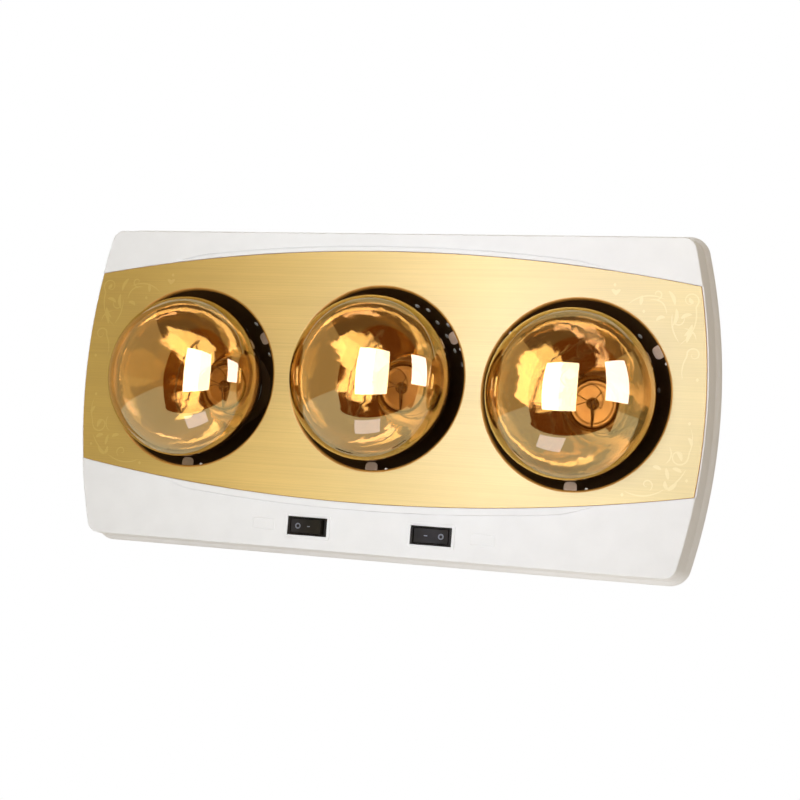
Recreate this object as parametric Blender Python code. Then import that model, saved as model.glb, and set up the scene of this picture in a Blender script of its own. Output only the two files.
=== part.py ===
"""Bathroom heat lamp for a wall, with three reflector lamps and two rocker switches.

Units are metres and +Z is up. The lamps shine towards -Y and +X is to the viewer's right.
The origin is on the wall, behind the axis height of the two outer lamps.
"Depth" means how far a point lies behind the flat front of the cover.
"""
import math

import bmesh
import bpy
from mathutils import Vector

# Clearances that all pieces share
SEAT_GAP = 0.0003
CUT_OVERRUN = 0.002

# The whole lamp, from the wall to the flat front
FACE_DEPTH = 0.1240
FACE_TOP = 0.1153
FACE_BOTTOM = 0.1265
FACE_BEYOND_LAMPS = 0.0953
SIDE_BOW_RADIUS = 0.4550
FACE_CORNER_RADIUS = 0.0100
CORNER_SEGMENTS = 3
BOW_SEGMENTS = 8

# Front cover, a white moulding with a flared rim
COVER_WALL = 0.0028
COVER_EDGE_RADIUS = 0.0010
COVER_WALL_DRAFT = 0.0020
COVER_WALL_DEPTH = 0.0210
COVER_FLARE = 0.0052
COVER_FLARE_DEPTH = 0.0055
COVER_RIM_DEPTH = 0.0030
COVER_RIM_WALL = 0.0020
BAND_ABOVE = 0.0034
BAND_BELOW = 0.0052
BAND_RISE = 0.0004
BAND_HALF_LENGTH = 0.1820

# Gold faceplate with rolled lips round its three holes
PLATE_THICKNESS = 0.0010
PLATE_TOP = 0.1017
PLATE_TOP_RADIUS = 1.3490
PLATE_BOTTOM = 0.0890
PLATE_BOTTOM_RADIUS = 1.4520
PLATE_END_INSET = 0.0011
PLATE_ARC_SEGMENTS = 16
HOLE_RADIUS = 0.0700
HOLE_SEGMENTS = 40
LIP_RADIUS = 0.0020
LIP_WALL = 0.0010
LIP_DEPTH = 0.0045
LIP_CURVE_STEPS = 2
COVER_HOLE_MARGIN = 0.0023

# Lamp row
LAMP_PITCH = 0.1534
MIDDLE_LAMP_LIFT = 0.00525
LAMP_SAG = 0.0010

# Reflector lamp, measured along its axis from its widest circle
GLASS_RADIUS = 0.0620
GLASS_DOME = 0.0400
GLASS_REAR = 0.0780
GLASS_NECK_RADIUS = 0.0190
GLASS_NECK_LENGTH = 0.0090
GLASS_TAPER_LENGTH = 0.0110
GLASS_TAIL_RADIUS = 0.0116
GLASS_TAIL_LENGTH = 0.0060
GLASS_WALL = 0.0010
GLASS_SEGMENTS = 24
DOME_STEPS = 4
REAR_STEPS = 5
REAR_SWELL_SHARE = 1.8
REAR_CLOSE_SHARE = 1.25

# Lamp cap, its centre contact, the glass stem and the filament
CAP_CREST_RADIUS = 0.0131
CAP_ROOT_RADIUS = 0.0124
CAP_THREAD_PITCH = 0.0036
CAP_THREADS = 4
CAP_SKIRT = 0.0028
CAP_END = 0.0028
CAP_SEGMENTS = 14
CONTACT_CONE = 0.0024
CONTACT_RADIUS = 0.0048
CONTACT_TIP = 0.0016
CONTACT_PLUG = 0.0020
STEM_RADIUS = 0.0045
STEM_FRONT = 0.0700
STEM_FLARE_LENGTH = 0.0070
HEAT_DISC_RADIUS = 0.0150
HEAT_DISC_THICKNESS = 0.0008
HEAT_DISC_PLACE = 0.0755
FILAMENT_RADIUS = 0.0130
FILAMENT_PLACE = 0.0500
FILAMENT_WIRE = 0.0007
FILAMENT_ARC = math.radians(230)
FILAMENT_STEPS = 10
LEAD_SPACING = 0.0028

# Black bowl behind each hole, with a sprung ring that has three tabs
BOWL_STEEL = 0.0008
BOWL_FLANGE = 0.0046
BOWL_MOUTH_MARGIN = 0.0016
BOWL_DEPTH = 0.0760
BOWL_FLOOR_RADIUS = 0.0320
BOWL_FLOOR_HOLE = 0.0240
BOWL_SWELL_SHARE = 1.6
BOWL_STEPS = 4
BOWL_SEGMENTS = 24
TAB_ANGLES = (math.radians(30), math.radians(150), math.radians(270))
TAB_WIDTH = 0.0080
TAB_REACH = 0.0085
RING_STEEL = 0.0008
RING_WIDTH = 0.0010
RING_PLACE = 0.0024

# Lampholders and the rail that carries them
HOLDER_RADIUS = 0.0205
HOLDER_RIM_RADIUS = 0.0185
HOLDER_RIM_LENGTH = 0.0050
HOLDER_BASE = 0.0074
HOLDER_BORE_GAP = 0.0006
HOLDER_FRONT_GAP = 0.0015
HOLDER_SEGMENTS = 18
RAIL_RISE = 0.0030
RAIL_STEEL = 0.0015
RAIL_SPAN = 0.0540
RAIL_FOOT = 0.0080
RAIL_OVERHANG = 0.0300

# Rear housing
HOUSING_WALL = 0.0010
HOUSING_INSET = 0.0100
HOUSING_CORNER_RADIUS = 0.0120
HOUSING_BACK_ROUND = 0.0040
HOUSING_RIM_CLEARANCE = 0.0015
VENT_WIDTH = 0.0040
VENT_LENGTH = 0.0480
VENT_PITCH = 0.0110
VENTS_PER_GROUP = 5
VENT_GROUP_PLACE = 0.1294

# Screws that hold the cover to the housing
BOSS_RADIUS = 0.0034
BOSS_INSET = 0.0045
BOSS_PLACE = 0.1500
SCREW_RADIUS = 0.0015
SCREW_LENGTH = 0.0100
SCREW_HEAD_RADIUS = 0.0034
SCREW_HEAD_HEIGHT = 0.0022
SCREW_SEGMENTS = 10

# Wall bracket with two hooks
BRACKET_THICKNESS = 0.0020
BRACKET_WIDTH = 0.2600
BRACKET_TOP = 0.0600
BRACKET_BOTTOM = 0.0150
BRACKET_HOLE_RADIUS = 0.00275
HOOK_PLACE = 0.1050
HOOK_WIDTH = 0.0200
HOOK_STEEL = 0.0018
HOOK_DROP = 0.0020
HOOK_HEIGHT = 0.0140
HOOK_SLOT_PLAY = 0.0020

# Rocker switches
SWITCH_LEFT_PLACE = -0.0456
SWITCH_RIGHT_PLACE = 0.0530
SWITCH_DROP = 0.1092
FRAME_WIDTH = 0.0370
FRAME_HEIGHT = 0.0190
FRAME_RISE = 0.0007
BEZEL_WIDTH = 0.0315
BEZEL_HEIGHT = 0.0136
BEZEL_THICKNESS = 0.0018
SWITCH_BODY_WIDTH = 0.0286
SWITCH_BODY_HEIGHT = 0.0126
SWITCH_OPENING_WIDTH = 0.0274
SWITCH_OPENING_HEIGHT = 0.0112
SWITCH_CAVITY = 0.0150
SWITCH_BASE = 0.0040
ROCKER_PIVOT_DEPTH = 0.0036
ROCKER_HALF_LENGTH = 0.0128
ROCKER_HEIGHT = 0.0106
ROCKER_FACE = 0.0034
ROCKER_TILT = math.radians(7.5)
ROCKER_SKIRT = 0.0010
ROCKER_BELLY = 0.0045
ROCKER_BELLY_HALF = 0.0070
ROCKER_NUB = 0.0090
ROCKER_NUB_HALF = 0.0012
PIVOT_PIN_RADIUS = 0.0012
PIVOT_PIN_REACH = 0.0004
PIVOT_SEGMENTS = 10
LEVER_HALF_LENGTH = 0.0080
LEVER_THICKNESS = 0.0006
LEVER_WIDTH = 0.0050
BLADE_THICKNESS = 0.0008
BLADE_WIDTH = 0.0060
BLADE_REACH = 0.0080
CONTACT_PAD_PLACE = 0.0070

# Terminal block, gland, thermal cut-out and earth screw
BLOCK_PLACE = (0.0780, -0.0920)
BLOCK_POLES = 3
BLOCK_PITCH = 0.0100
BLOCK_POLE_WIDTH = 0.0080
BLOCK_HEIGHT = 0.0180
BLOCK_NOTCH = 0.0030
BLOCK_DEPTH = 0.0120
GLAND_END_DISTANCE = 0.0587
GLAND_DEPTH = 0.0750
GLAND_STEM_RADIUS = 0.0060
GLAND_NUT_RADIUS = 0.0090
GLAND_NUT_HEIGHT = 0.0050
GLAND_CAP_RADIUS = 0.0070
GLAND_CAP_HEIGHT = 0.0050
GLAND_TAPER_SHARE = 0.8
GLAND_BORE_RADIUS = 0.0035
GLAND_SEGMENTS = 16
CUTOUT_PLACE = (-0.0600, 0.0780)
CUTOUT_FLANGE_RADIUS = 0.0120
CUTOUT_FLANGE = 0.0010
CUTOUT_RADIUS = 0.0082
CUTOUT_HEIGHT = 0.0110
EARTH_PLACE = (0.1120, -0.0920)
EARTH_WASHER_SHARE = 1.4

# Internal wiring
WIRE_RADIUS = 0.0011
WIRE_SIDES = 1
WIRE_SAMPLES = 3
WIRE_LANE = 0.0060
WIRE_TAIL = 0.0100
BLADE_WIRE_OFFSET = 0.0018
HOLDER_WIRE_OFFSET = 0.0060
BELOW_BOWLS_SHARE = 1.6
ABOVE_HOLDERS_SHARE = 2.3
LAMP_LEAD_OUT_SHARE = 0.7
LAMP_LEAD_LOW_SHARE = 0.8
NEUTRAL_CLIMB_SHARE = 0.6
NEUTRAL_LEAD_SHARE = 0.8
NEUTRAL_LINK_SHARE = 1.2

# Places that follow from the sizes above
FACE_HALF_WIDTH = LAMP_PITCH + FACE_BEYOND_LAMPS
BOW_CENTRE_X = FACE_HALF_WIDTH - SIDE_BOW_RADIUS
BOW_CENTRE_Z = (FACE_TOP - FACE_BOTTOM) / 2
COVER_DEPTH = COVER_WALL_DEPTH + COVER_FLARE_DEPTH + COVER_RIM_DEPTH
FLANGE_DEPTH = COVER_DEPTH - COVER_RIM_DEPTH + SEAT_GAP
BOSS_DEPTH = FLANGE_DEPTH - SEAT_GAP
PANEL_BACK = BRACKET_THICKNESS + SEAT_GAP
PANEL_FRONT = PANEL_BACK + HOUSING_WALL
RAIL_FRONT = PANEL_FRONT + SEAT_GAP + RAIL_RISE + RAIL_STEEL
HOLDER_BACK = RAIL_FRONT + SEAT_GAP
GLAND_PLACE = FACE_HALF_WIDTH - GLAND_END_DISTANCE
CAP_LENGTH = CAP_SKIRT + CAP_THREADS * CAP_THREAD_PITCH + CAP_END
CONTACT_LENGTH = CONTACT_CONE + CONTACT_TIP
CAP_FRONT = GLASS_REAR + GLASS_NECK_LENGTH + GLASS_TAPER_LENGTH + SEAT_GAP
CAP_BACK = CAP_FRONT + CAP_LENGTH
CONTACT_END = CAP_BACK + CONTACT_LENGTH
EQUATOR_Y = -(HOLDER_BACK + HOLDER_BASE + SEAT_GAP + CONTACT_END)
FLOOR_DEPTH = PLATE_THICKNESS + SEAT_GAP
LIP_THROAT = HOLE_RADIUS - LIP_RADIUS / 2
BOWL_FRONT = COVER_WALL + SEAT_GAP
BOWL_MOUTH = HOLE_RADIUS + BOWL_MOUTH_MARGIN
LAMPS = {
    "left": (-LAMP_PITCH, 0.0),
    "middle": (0.0, MIDDLE_LAMP_LIFT),
    "right": (LAMP_PITCH, 0.0),
}
SWITCHES = {"left": (SWITCH_LEFT_PLACE, -1), "right": (SWITCH_RIGHT_PLACE, 1)}
BEZEL_FRONT = -FRAME_RISE
PIVOT_DEPTH = BEZEL_FRONT + ROCKER_PIVOT_DEPTH
LEVER_DEPTH = PIVOT_DEPTH + ROCKER_NUB + SEAT_GAP
SWITCH_FLOOR_DEPTH = BEZEL_FRONT + SWITCH_CAVITY
BLADE_END_DEPTH = SWITCH_FLOOR_DEPTH + SWITCH_BASE + BLADE_REACH


def clear_scene():
    for item in list(bpy.data.objects):
        bpy.data.objects.remove(item)


def finish(name, colour, roughness, metallic):
    """One plain material, kept under its name so that like pieces share it."""
    if name in bpy.data.materials:
        return bpy.data.materials[name]
    material = bpy.data.materials.new(name)
    material.use_nodes = True
    shader = material.node_tree.nodes["Principled BSDF"]
    shader.inputs["Base Color"].default_value = (*colour, 1.0)
    shader.inputs["Roughness"].default_value = roughness
    shader.inputs["Metallic"].default_value = metallic
    return material


def white_plastic():
    return finish("white_plastic", (0.90, 0.89, 0.87), 0.25, 0.0)


def brushed_gold():
    return finish("brushed_gold", (0.82, 0.64, 0.32), 0.35, 1.0)


def black_enamel():
    return finish("black_enamel", (0.02, 0.015, 0.012), 0.45, 0.0)


def bright_steel():
    return finish("bright_steel", (0.62, 0.62, 0.60), 0.30, 1.0)


def coated_steel():
    return finish("coated_steel", (0.80, 0.79, 0.76), 0.50, 0.0)


def amber_glass():
    return finish("amber_glass", (0.86, 0.62, 0.26), 0.05, 0.0)


def clear_glass():
    return finish("clear_glass", (0.85, 0.87, 0.86), 0.05, 0.0)


def tungsten():
    return finish("tungsten", (0.35, 0.34, 0.33), 0.40, 1.0)


def brass():
    return finish("brass", (0.78, 0.62, 0.30), 0.30, 1.0)


def porcelain():
    return finish("porcelain", (0.88, 0.87, 0.84), 0.20, 0.0)


def black_plastic():
    return finish("black_plastic", (0.018, 0.017, 0.015), 0.30, 0.0)


def wire_sleeve(name, colour):
    return finish(name, colour, 0.45, 0.0)


def add_mesh(name, shape, material, place=(0.0, 0.0, 0.0), smooth_angle=math.radians(35)):
    """Turns a bmesh into a named object with its own material."""
    bmesh.ops.recalc_face_normals(shape, faces=shape.faces)
    mesh = bpy.data.meshes.new(name)
    shape.to_mesh(mesh)
    shape.free()
    mesh.materials.append(material)
    mesh.shade_smooth()
    mesh.set_sharp_from_angle(angle=smooth_angle)
    return add_copy(name, mesh, place)


def add_copy(name, mesh, place, turn=0.0):
    """Places one object that uses a mesh, turned about its own Y axis."""
    item = bpy.data.objects.new(name, mesh)
    bpy.context.scene.collection.objects.link(item)
    item.location = place
    item.rotation_euler = (0.0, turn, 0.0)
    return item


def hide_tool(item):
    item.hide_render = True
    item.display_type = "WIRE"
    return item


def combine(item, tool, operation):
    """Adds a Boolean that cuts a tool out of an object or joins it on."""
    modifier = item.modifiers.new(f"{operation.lower()}_{tool.name}", "BOOLEAN")
    modifier.operation = operation
    modifier.solver = "EXACT"
    modifier.object = hide_tool(tool)


def cut(item, tool):
    combine(item, tool, "DIFFERENCE")


def join(item, tool):
    combine(item, tool, "UNION")


def loft(rings):
    """A closed body through rings of equally many points, capped at both ends."""
    shape = bmesh.new()
    loops = [[shape.verts.new(point) for point in ring] for ring in rings]
    for near, far in zip(loops, loops[1:]):
        for index, corner in enumerate(near):
            following = (index + 1) % len(near)
            shape.faces.new((corner, near[following], far[following], far[index]))
    shape.faces.new(loops[0])
    shape.faces.new(loops[-1])
    return shape


def prism(points, low, high, axis="Y"):
    """A straight body with the outline (x, z), (x, y) or (z, y) carried along one axis."""
    order = {
        "Y": lambda a, b, h: (a, h, b),
        "Z": lambda a, b, h: (a, b, h),
        "X": lambda a, b, h: (h, b, a),
    }[axis]
    return loft([[order(a, b, height) for a, b in points] for height in (low, high)])


def block(low, high):
    """A box between two corners."""
    outline_points = [(low[0], low[2]), (high[0], low[2]), (high[0], high[2]), (low[0], high[2])]
    return prism(outline_points, low[1], high[1])


def turned(profile, segments, axis=(0.0, 1.0, 0.0), closed=True):
    """A body turned about an axis from (radius, height) points."""
    shape = bmesh.new()
    upright = axis[2] > axis[1]
    points = []
    for radius, height in profile:
        points.append((radius, 0.0, height) if upright else (radius, height, 0.0))
    verts = [shape.verts.new(point) for point in points]
    pairs = list(zip(verts, verts[1:]))
    if closed:
        pairs.append((verts[-1], verts[0]))
    edges = [shape.edges.new(pair) for pair in pairs]
    bmesh.ops.spin(shape, geom=verts + edges, cent=(0.0, 0.0, 0.0), axis=axis, angle=math.tau,
                   steps=segments, use_merge=True)
    bmesh.ops.remove_doubles(shape, verts=shape.verts, dist=SEAT_GAP / 100)
    return shape


def solid_round(radius, low, high, segments, axis=(0.0, 1.0, 0.0)):
    """A plain round bar from low to high along its axis."""
    return turned([(0.0, low), (radius, low), (radius, high), (0.0, high)], segments, axis, closed=False)


def arc(centre, radius, start, end, steps):
    """Points on an arc, both ends included."""
    points = []
    for step in range(steps + 1):
        angle = start + (end - start) * step / steps
        points.append((centre[0] + radius * math.cos(angle), centre[1] + radius * math.sin(angle)))
    return points


def outline(outset, corner):
    """The cover's outline (x, z), grown by outset, with straight top and bottom and bowed ends."""
    top = FACE_TOP + outset
    bottom = -FACE_BOTTOM - outset
    bow = SIDE_BOW_RADIUS + outset
    right = []
    low_z = bottom + corner
    high_z = top - corner
    low_angle = math.asin((low_z - BOW_CENTRE_Z) / (bow - corner))
    high_angle = math.asin((high_z - BOW_CENTRE_Z) / (bow - corner))
    low_x = BOW_CENTRE_X + (bow - corner) * math.cos(low_angle)
    high_x = BOW_CENTRE_X + (bow - corner) * math.cos(high_angle)
    right += arc((low_x, low_z), corner, -math.pi / 2, low_angle, CORNER_SEGMENTS)
    right += arc((BOW_CENTRE_X, BOW_CENTRE_Z), bow, low_angle, high_angle, BOW_SEGMENTS)[1:-1]
    right += arc((high_x, high_z), corner, high_angle, math.pi / 2, CORNER_SEGMENTS)
    left = [(-x, z) for x, z in reversed(right)]
    return right + left


def cover_ring(outset, depth):
    y = depth - FACE_DEPTH
    return [(x, y, z) for x, z in outline(outset, FACE_CORNER_RADIUS + outset)]


def plate_edge_z(x, edge, radius):
    """Height of one of the plate's long curved edges above or below the lamp row's axis."""
    return edge - radius + math.sqrt(radius * radius - x * x)


def plate_end_x(z, inset):
    reach = SIDE_BOW_RADIUS - inset
    return BOW_CENTRE_X + math.sqrt(reach * reach - (z - BOW_CENTRE_Z) ** 2)


def plate_half_width(side, edge, radius, inset):
    """Where a long edge meets the bowed end, found by stepping to and fro between the two curves."""
    half = FACE_HALF_WIDTH - inset
    for _ in range(PLATE_ARC_SEGMENTS):
        half = plate_end_x(side * plate_edge_z(half, edge, radius), inset)
    return half


def plate_outline(inset, grow):
    """The faceplate's outline (x, z) with its ends drawn in by inset and its long edges grown."""
    top = PLATE_TOP + grow
    bottom = PLATE_BOTTOM + grow
    upper_half = plate_half_width(1, top, PLATE_TOP_RADIUS, inset)
    lower_half = plate_half_width(-1, bottom, PLATE_BOTTOM_RADIUS, inset)
    points = []
    for step in range(PLATE_ARC_SEGMENTS + 1):
        x = -lower_half + 2 * lower_half * step / PLATE_ARC_SEGMENTS
        points.append((x, -plate_edge_z(x, bottom, PLATE_BOTTOM_RADIUS)))
    low_z = points[-1][1]
    high_z = plate_edge_z(upper_half, top, PLATE_TOP_RADIUS)
    for step in range(1, BOW_SEGMENTS):
        z = low_z + (high_z - low_z) * step / BOW_SEGMENTS
        points.append((plate_end_x(z, inset), z))
    for step in range(PLATE_ARC_SEGMENTS + 1):
        x = upper_half - 2 * upper_half * step / PLATE_ARC_SEGMENTS
        points.append((x, plate_edge_z(x, top, PLATE_TOP_RADIUS)))
    for step in range(1, BOW_SEGMENTS):
        z = high_z - (high_z - low_z) * step / BOW_SEGMENTS
        points.append((-plate_end_x(z, inset), z))
    return points


def band_outline():
    """The slightly raised band of the cover that runs along the plate's long edges."""
    points = []
    for step in range(PLATE_ARC_SEGMENTS + 1):
        x = -BAND_HALF_LENGTH + 2 * BAND_HALF_LENGTH * step / PLATE_ARC_SEGMENTS
        points.append((x, -plate_edge_z(x, PLATE_BOTTOM + BAND_BELOW, PLATE_BOTTOM_RADIUS)))
    for step in range(PLATE_ARC_SEGMENTS + 1):
        x = BAND_HALF_LENGTH - 2 * BAND_HALF_LENGTH * step / PLATE_ARC_SEGMENTS
        points.append((x, plate_edge_z(x, PLATE_TOP + BAND_ABOVE, PLATE_TOP_RADIUS)))
    return points


def boss_places():
    """Centres (x, z) of the four screw bosses inside the cover."""
    heights = (FACE_TOP - BOSS_INSET, -FACE_BOTTOM + BOSS_INSET)
    return [(x, z) for z in heights for x in (-BOSS_PLACE, BOSS_PLACE)]


def add_cover():
    """White front cover: a shallow tray with a flared rim, openings and four bosses."""
    wall_end = COVER_WALL_DEPTH
    flare_end = COVER_WALL_DEPTH + COVER_FLARE_DEPTH
    half_flare = (COVER_WALL_DRAFT + COVER_FLARE) / 2
    edge_share = 1 - math.cos(math.pi / 4)
    rings = [
        cover_ring(-COVER_EDGE_RADIUS, 0.0),
        cover_ring(-COVER_EDGE_RADIUS * edge_share, COVER_EDGE_RADIUS * edge_share),
        cover_ring(0.0, COVER_EDGE_RADIUS),
        cover_ring(COVER_WALL_DRAFT, wall_end),
        cover_ring(half_flare + COVER_RIM_WALL / 4, wall_end + COVER_FLARE_DEPTH * 0.6),
        cover_ring(COVER_FLARE, flare_end),
        cover_ring(COVER_FLARE, COVER_DEPTH),
        cover_ring(COVER_FLARE - COVER_RIM_WALL, COVER_DEPTH),
        cover_ring(COVER_FLARE - COVER_RIM_WALL, flare_end + COVER_RIM_WALL / 2),
        cover_ring(COVER_WALL_DRAFT - COVER_WALL, wall_end + COVER_RIM_WALL / 2),
        cover_ring(-COVER_WALL, COVER_WALL),
    ]
    cover = add_mesh("front_cover", loft(rings), white_plastic())
    front = -FACE_DEPTH
    for name, (x, _) in SWITCHES.items():
        low = (x - FRAME_WIDTH / 2, front - FRAME_RISE, -SWITCH_DROP - FRAME_HEIGHT / 2)
        high = (x + FRAME_WIDTH / 2, front + COVER_WALL / 2, -SWITCH_DROP + FRAME_HEIGHT / 2)
        join(cover, add_mesh(f"tool_frame_{name}", block(low, high), white_plastic()))
    for index, (x, z) in enumerate(boss_places()):
        boss = solid_round(BOSS_RADIUS, front + COVER_WALL / 2, front + BOSS_DEPTH, SCREW_SEGMENTS)
        join(cover, add_mesh(f"tool_boss_{index}", boss, white_plastic(), (x, 0.0, z)))
    bore_low = front + FLANGE_DEPTH - SCREW_LENGTH
    for index, (x, z) in enumerate(boss_places()):
        bore = solid_round(SCREW_RADIUS + SEAT_GAP, bore_low, front + BOSS_DEPTH + CUT_OVERRUN,
                           SCREW_SEGMENTS)
        cut(cover, add_mesh(f"tool_boss_bore_{index}", bore, white_plastic(), (x, 0.0, z)))
    band = prism(band_outline(), front - BAND_RISE, front + COVER_WALL / 2)
    join(cover, add_mesh("tool_band", band, white_plastic()))
    recess = prism(plate_outline(-CUT_OVERRUN, SEAT_GAP), front - CUT_OVERRUN, front + FLOOR_DEPTH)
    cut(cover, add_mesh("tool_recess", recess, white_plastic()))
    for name, (x, z) in LAMPS.items():
        hole = solid_round(HOLE_RADIUS + COVER_HOLE_MARGIN, front - CUT_OVERRUN,
                           front + COVER_WALL + CUT_OVERRUN, HOLE_SEGMENTS)
        cut(cover, add_mesh(f"tool_lamp_hole_{name}", hole, white_plastic(), (x, 0.0, z)))
    for name, (x, _) in SWITCHES.items():
        add_switch_window(cover, name, x)
    return cover


def add_switch_window(cover, name, x):
    """Cuts the seat of one switch: a shallow pocket for its bezel and a window for its body."""
    front = -FACE_DEPTH
    sizes = (
        ("pocket", BEZEL_WIDTH, BEZEL_HEIGHT, BEZEL_FRONT + BEZEL_THICKNESS + SEAT_GAP),
        ("window", SWITCH_BODY_WIDTH, SWITCH_BODY_HEIGHT, COVER_WALL + CUT_OVERRUN),
    )
    for kind, width, height, depth in sizes:
        half_width = width / 2 + SEAT_GAP
        half_height = height / 2 + SEAT_GAP
        low = (x - half_width, front - FRAME_RISE - CUT_OVERRUN, -SWITCH_DROP - half_height)
        high = (x + half_width, front + depth, -SWITCH_DROP + half_height)
        cut(cover, add_mesh(f"tool_{kind}_{name}", block(low, high), white_plastic()))


def lip_profile():
    """The space inside a rolled lip (radius, depth): wide at the front, narrowing on a quarter round."""
    points = [(0.0, -CUT_OVERRUN), (LIP_THROAT + LIP_RADIUS, -CUT_OVERRUN)]
    for step in range(LIP_CURVE_STEPS + 1):
        angle = math.pi / 2 * step / LIP_CURVE_STEPS
        radius = LIP_THROAT + LIP_RADIUS * (1 - math.sin(angle))
        points.append((radius, LIP_RADIUS * (1 - math.cos(angle))))
    points += [(LIP_THROAT, LIP_DEPTH + CUT_OVERRUN), (0.0, LIP_DEPTH + CUT_OVERRUN)]
    return points


def add_faceplate():
    """Brushed gold sheet with curved long edges and a rolled lip round each lamp hole."""
    front = -FACE_DEPTH
    sheet = prism(plate_outline(PLATE_END_INSET, 0.0), front, front + PLATE_THICKNESS)
    plate = add_mesh("gold_faceplate", sheet, brushed_gold())
    collar = [
        (LIP_THROAT - LIP_WALL, PLATE_THICKNESS / 2), (LIP_THROAT + LIP_WALL, PLATE_THICKNESS / 2),
        (LIP_THROAT + LIP_WALL, LIP_DEPTH), (LIP_THROAT - LIP_WALL, LIP_DEPTH),
    ]
    for name, (x, z) in LAMPS.items():
        ring = add_mesh(f"tool_collar_{name}", turned(collar, HOLE_SEGMENTS), brushed_gold(), (x, front, z))
        join(plate, ring)
    for name, (x, z) in LAMPS.items():
        throat_tool = add_mesh(f"tool_throat_{name}", turned(lip_profile(), HOLE_SEGMENTS, closed=False),
                               brushed_gold(), (x, front, z))
        throat_tool.rotation_euler = (0.0, math.pi / HOLE_SEGMENTS, 0.0)
        cut(plate, throat_tool)
    return plate


def bowl_radius(share):
    """Inner radius of a bowl, from its mouth (share 0) to its floor (share 1)."""
    return BOWL_FLOOR_RADIUS + (BOWL_MOUTH - BOWL_FLOOR_RADIUS) * (1 - share ** BOWL_SWELL_SHARE)


def add_bowls():
    """Black pressed bowls, which hang by a flange behind the cover and leave a hole for the holder."""
    inner = []
    outer = []
    for step in range(BOWL_STEPS + 1):
        share = step / BOWL_STEPS
        depth = BOWL_FRONT + BOWL_DEPTH * share
        inner.append((bowl_radius(share), depth))
        outer.append((bowl_radius(share) + BOWL_STEEL, depth + BOWL_STEEL))
    profile = [(BOWL_MOUTH + BOWL_FLANGE, BOWL_FRONT)] + inner
    profile.append((BOWL_FLOOR_HOLE, BOWL_FRONT + BOWL_DEPTH))
    profile.append((BOWL_FLOOR_HOLE, BOWL_FRONT + BOWL_DEPTH + BOWL_STEEL))
    profile += list(reversed(outer))
    profile.append((BOWL_MOUTH + BOWL_FLANGE, BOWL_FRONT + BOWL_STEEL))
    mesh = None
    for name, (x, z) in LAMPS.items():
        place = (x, -FACE_DEPTH, z)
        if mesh is None:
            mesh = add_mesh(f"bowl_{name}", turned(profile, BOWL_SEGMENTS), black_enamel(), place).data
        else:
            add_copy(f"bowl_{name}", mesh, place)


def ring_seat():
    """Outer radius of the sprung ring, which lies on the bowl's wall just inside its mouth."""
    first_step = 1 / BOWL_STEPS
    along = (RING_PLACE + RING_STEEL) / (BOWL_DEPTH * first_step)
    return bowl_radius(0.0) + (bowl_radius(first_step) - bowl_radius(0.0)) * along - SEAT_GAP


def add_rings():
    """Bright sprung ring inside each bowl's mouth, with three tabs that point to the lamp."""
    seat = ring_seat()
    front = BOWL_FRONT + RING_PLACE
    back = front + RING_STEEL
    profile = [(seat - RING_WIDTH, front), (seat, front), (seat, back), (seat - RING_WIDTH, back)]
    for name, (x, z) in LAMPS.items():
        place = (x, -FACE_DEPTH, z)
        ring = add_mesh(f"bowl_ring_{name}", turned(profile, BOWL_SEGMENTS), bright_steel(), place)
        for number, angle in enumerate(TAB_ANGLES, start=1):
            low = (seat - TAB_REACH, front, -TAB_WIDTH / 2)
            tab = block(low, (seat - RING_WIDTH / 2, back, TAB_WIDTH / 2))
            tool = add_mesh(f"tool_tab_{name}_{number}", tab, bright_steel(), place)
            tool.rotation_euler = (0.0, -angle, 0.0)
            join(ring, tool)


def glass_profile(shrink):
    """Half outline (radius, distance behind the widest circle) of the lamp glass."""
    points = []
    radius = GLASS_RADIUS - shrink
    dome = GLASS_DOME - shrink
    for step in range(DOME_STEPS + 1):
        angle = math.pi / 2 * (1 - step / DOME_STEPS)
        points.append((radius * math.cos(angle), -dome * math.sin(angle)))
    points[0] = (0.0, -dome)
    neck = GLASS_NECK_RADIUS - shrink
    for step in range(1, REAR_STEPS + 1):
        share = step / REAR_STEPS
        swell = (1 - share ** REAR_SWELL_SHARE) ** REAR_CLOSE_SHARE
        points.append((neck + (radius - neck) * swell, GLASS_REAR * share))
    neck_end = GLASS_REAR + GLASS_NECK_LENGTH
    points.append((neck, neck_end))
    points.append((GLASS_TAIL_RADIUS - shrink, neck_end + GLASS_TAPER_LENGTH))
    points.append((GLASS_TAIL_RADIUS - shrink, neck_end + GLASS_TAPER_LENGTH + GLASS_TAIL_LENGTH))
    return points


def lamp_copies(kind, shape, material):
    """Puts one piece of the lamp into all three lamps, on one shared mesh."""
    mesh = None
    for name, (x, z) in LAMPS.items():
        place = (x, EQUATOR_Y, z - LAMP_SAG)
        if mesh is None:
            mesh = add_mesh(f"{kind}_{name}", shape, material, place).data
        else:
            add_copy(f"{kind}_{name}", mesh, place)


def add_glass():
    outer = glass_profile(0.0)
    inner = glass_profile(GLASS_WALL)
    shape = turned(outer + list(reversed(inner)), GLASS_SEGMENTS, closed=False)
    lamp_copies("lamp_glass", shape, amber_glass())


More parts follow.
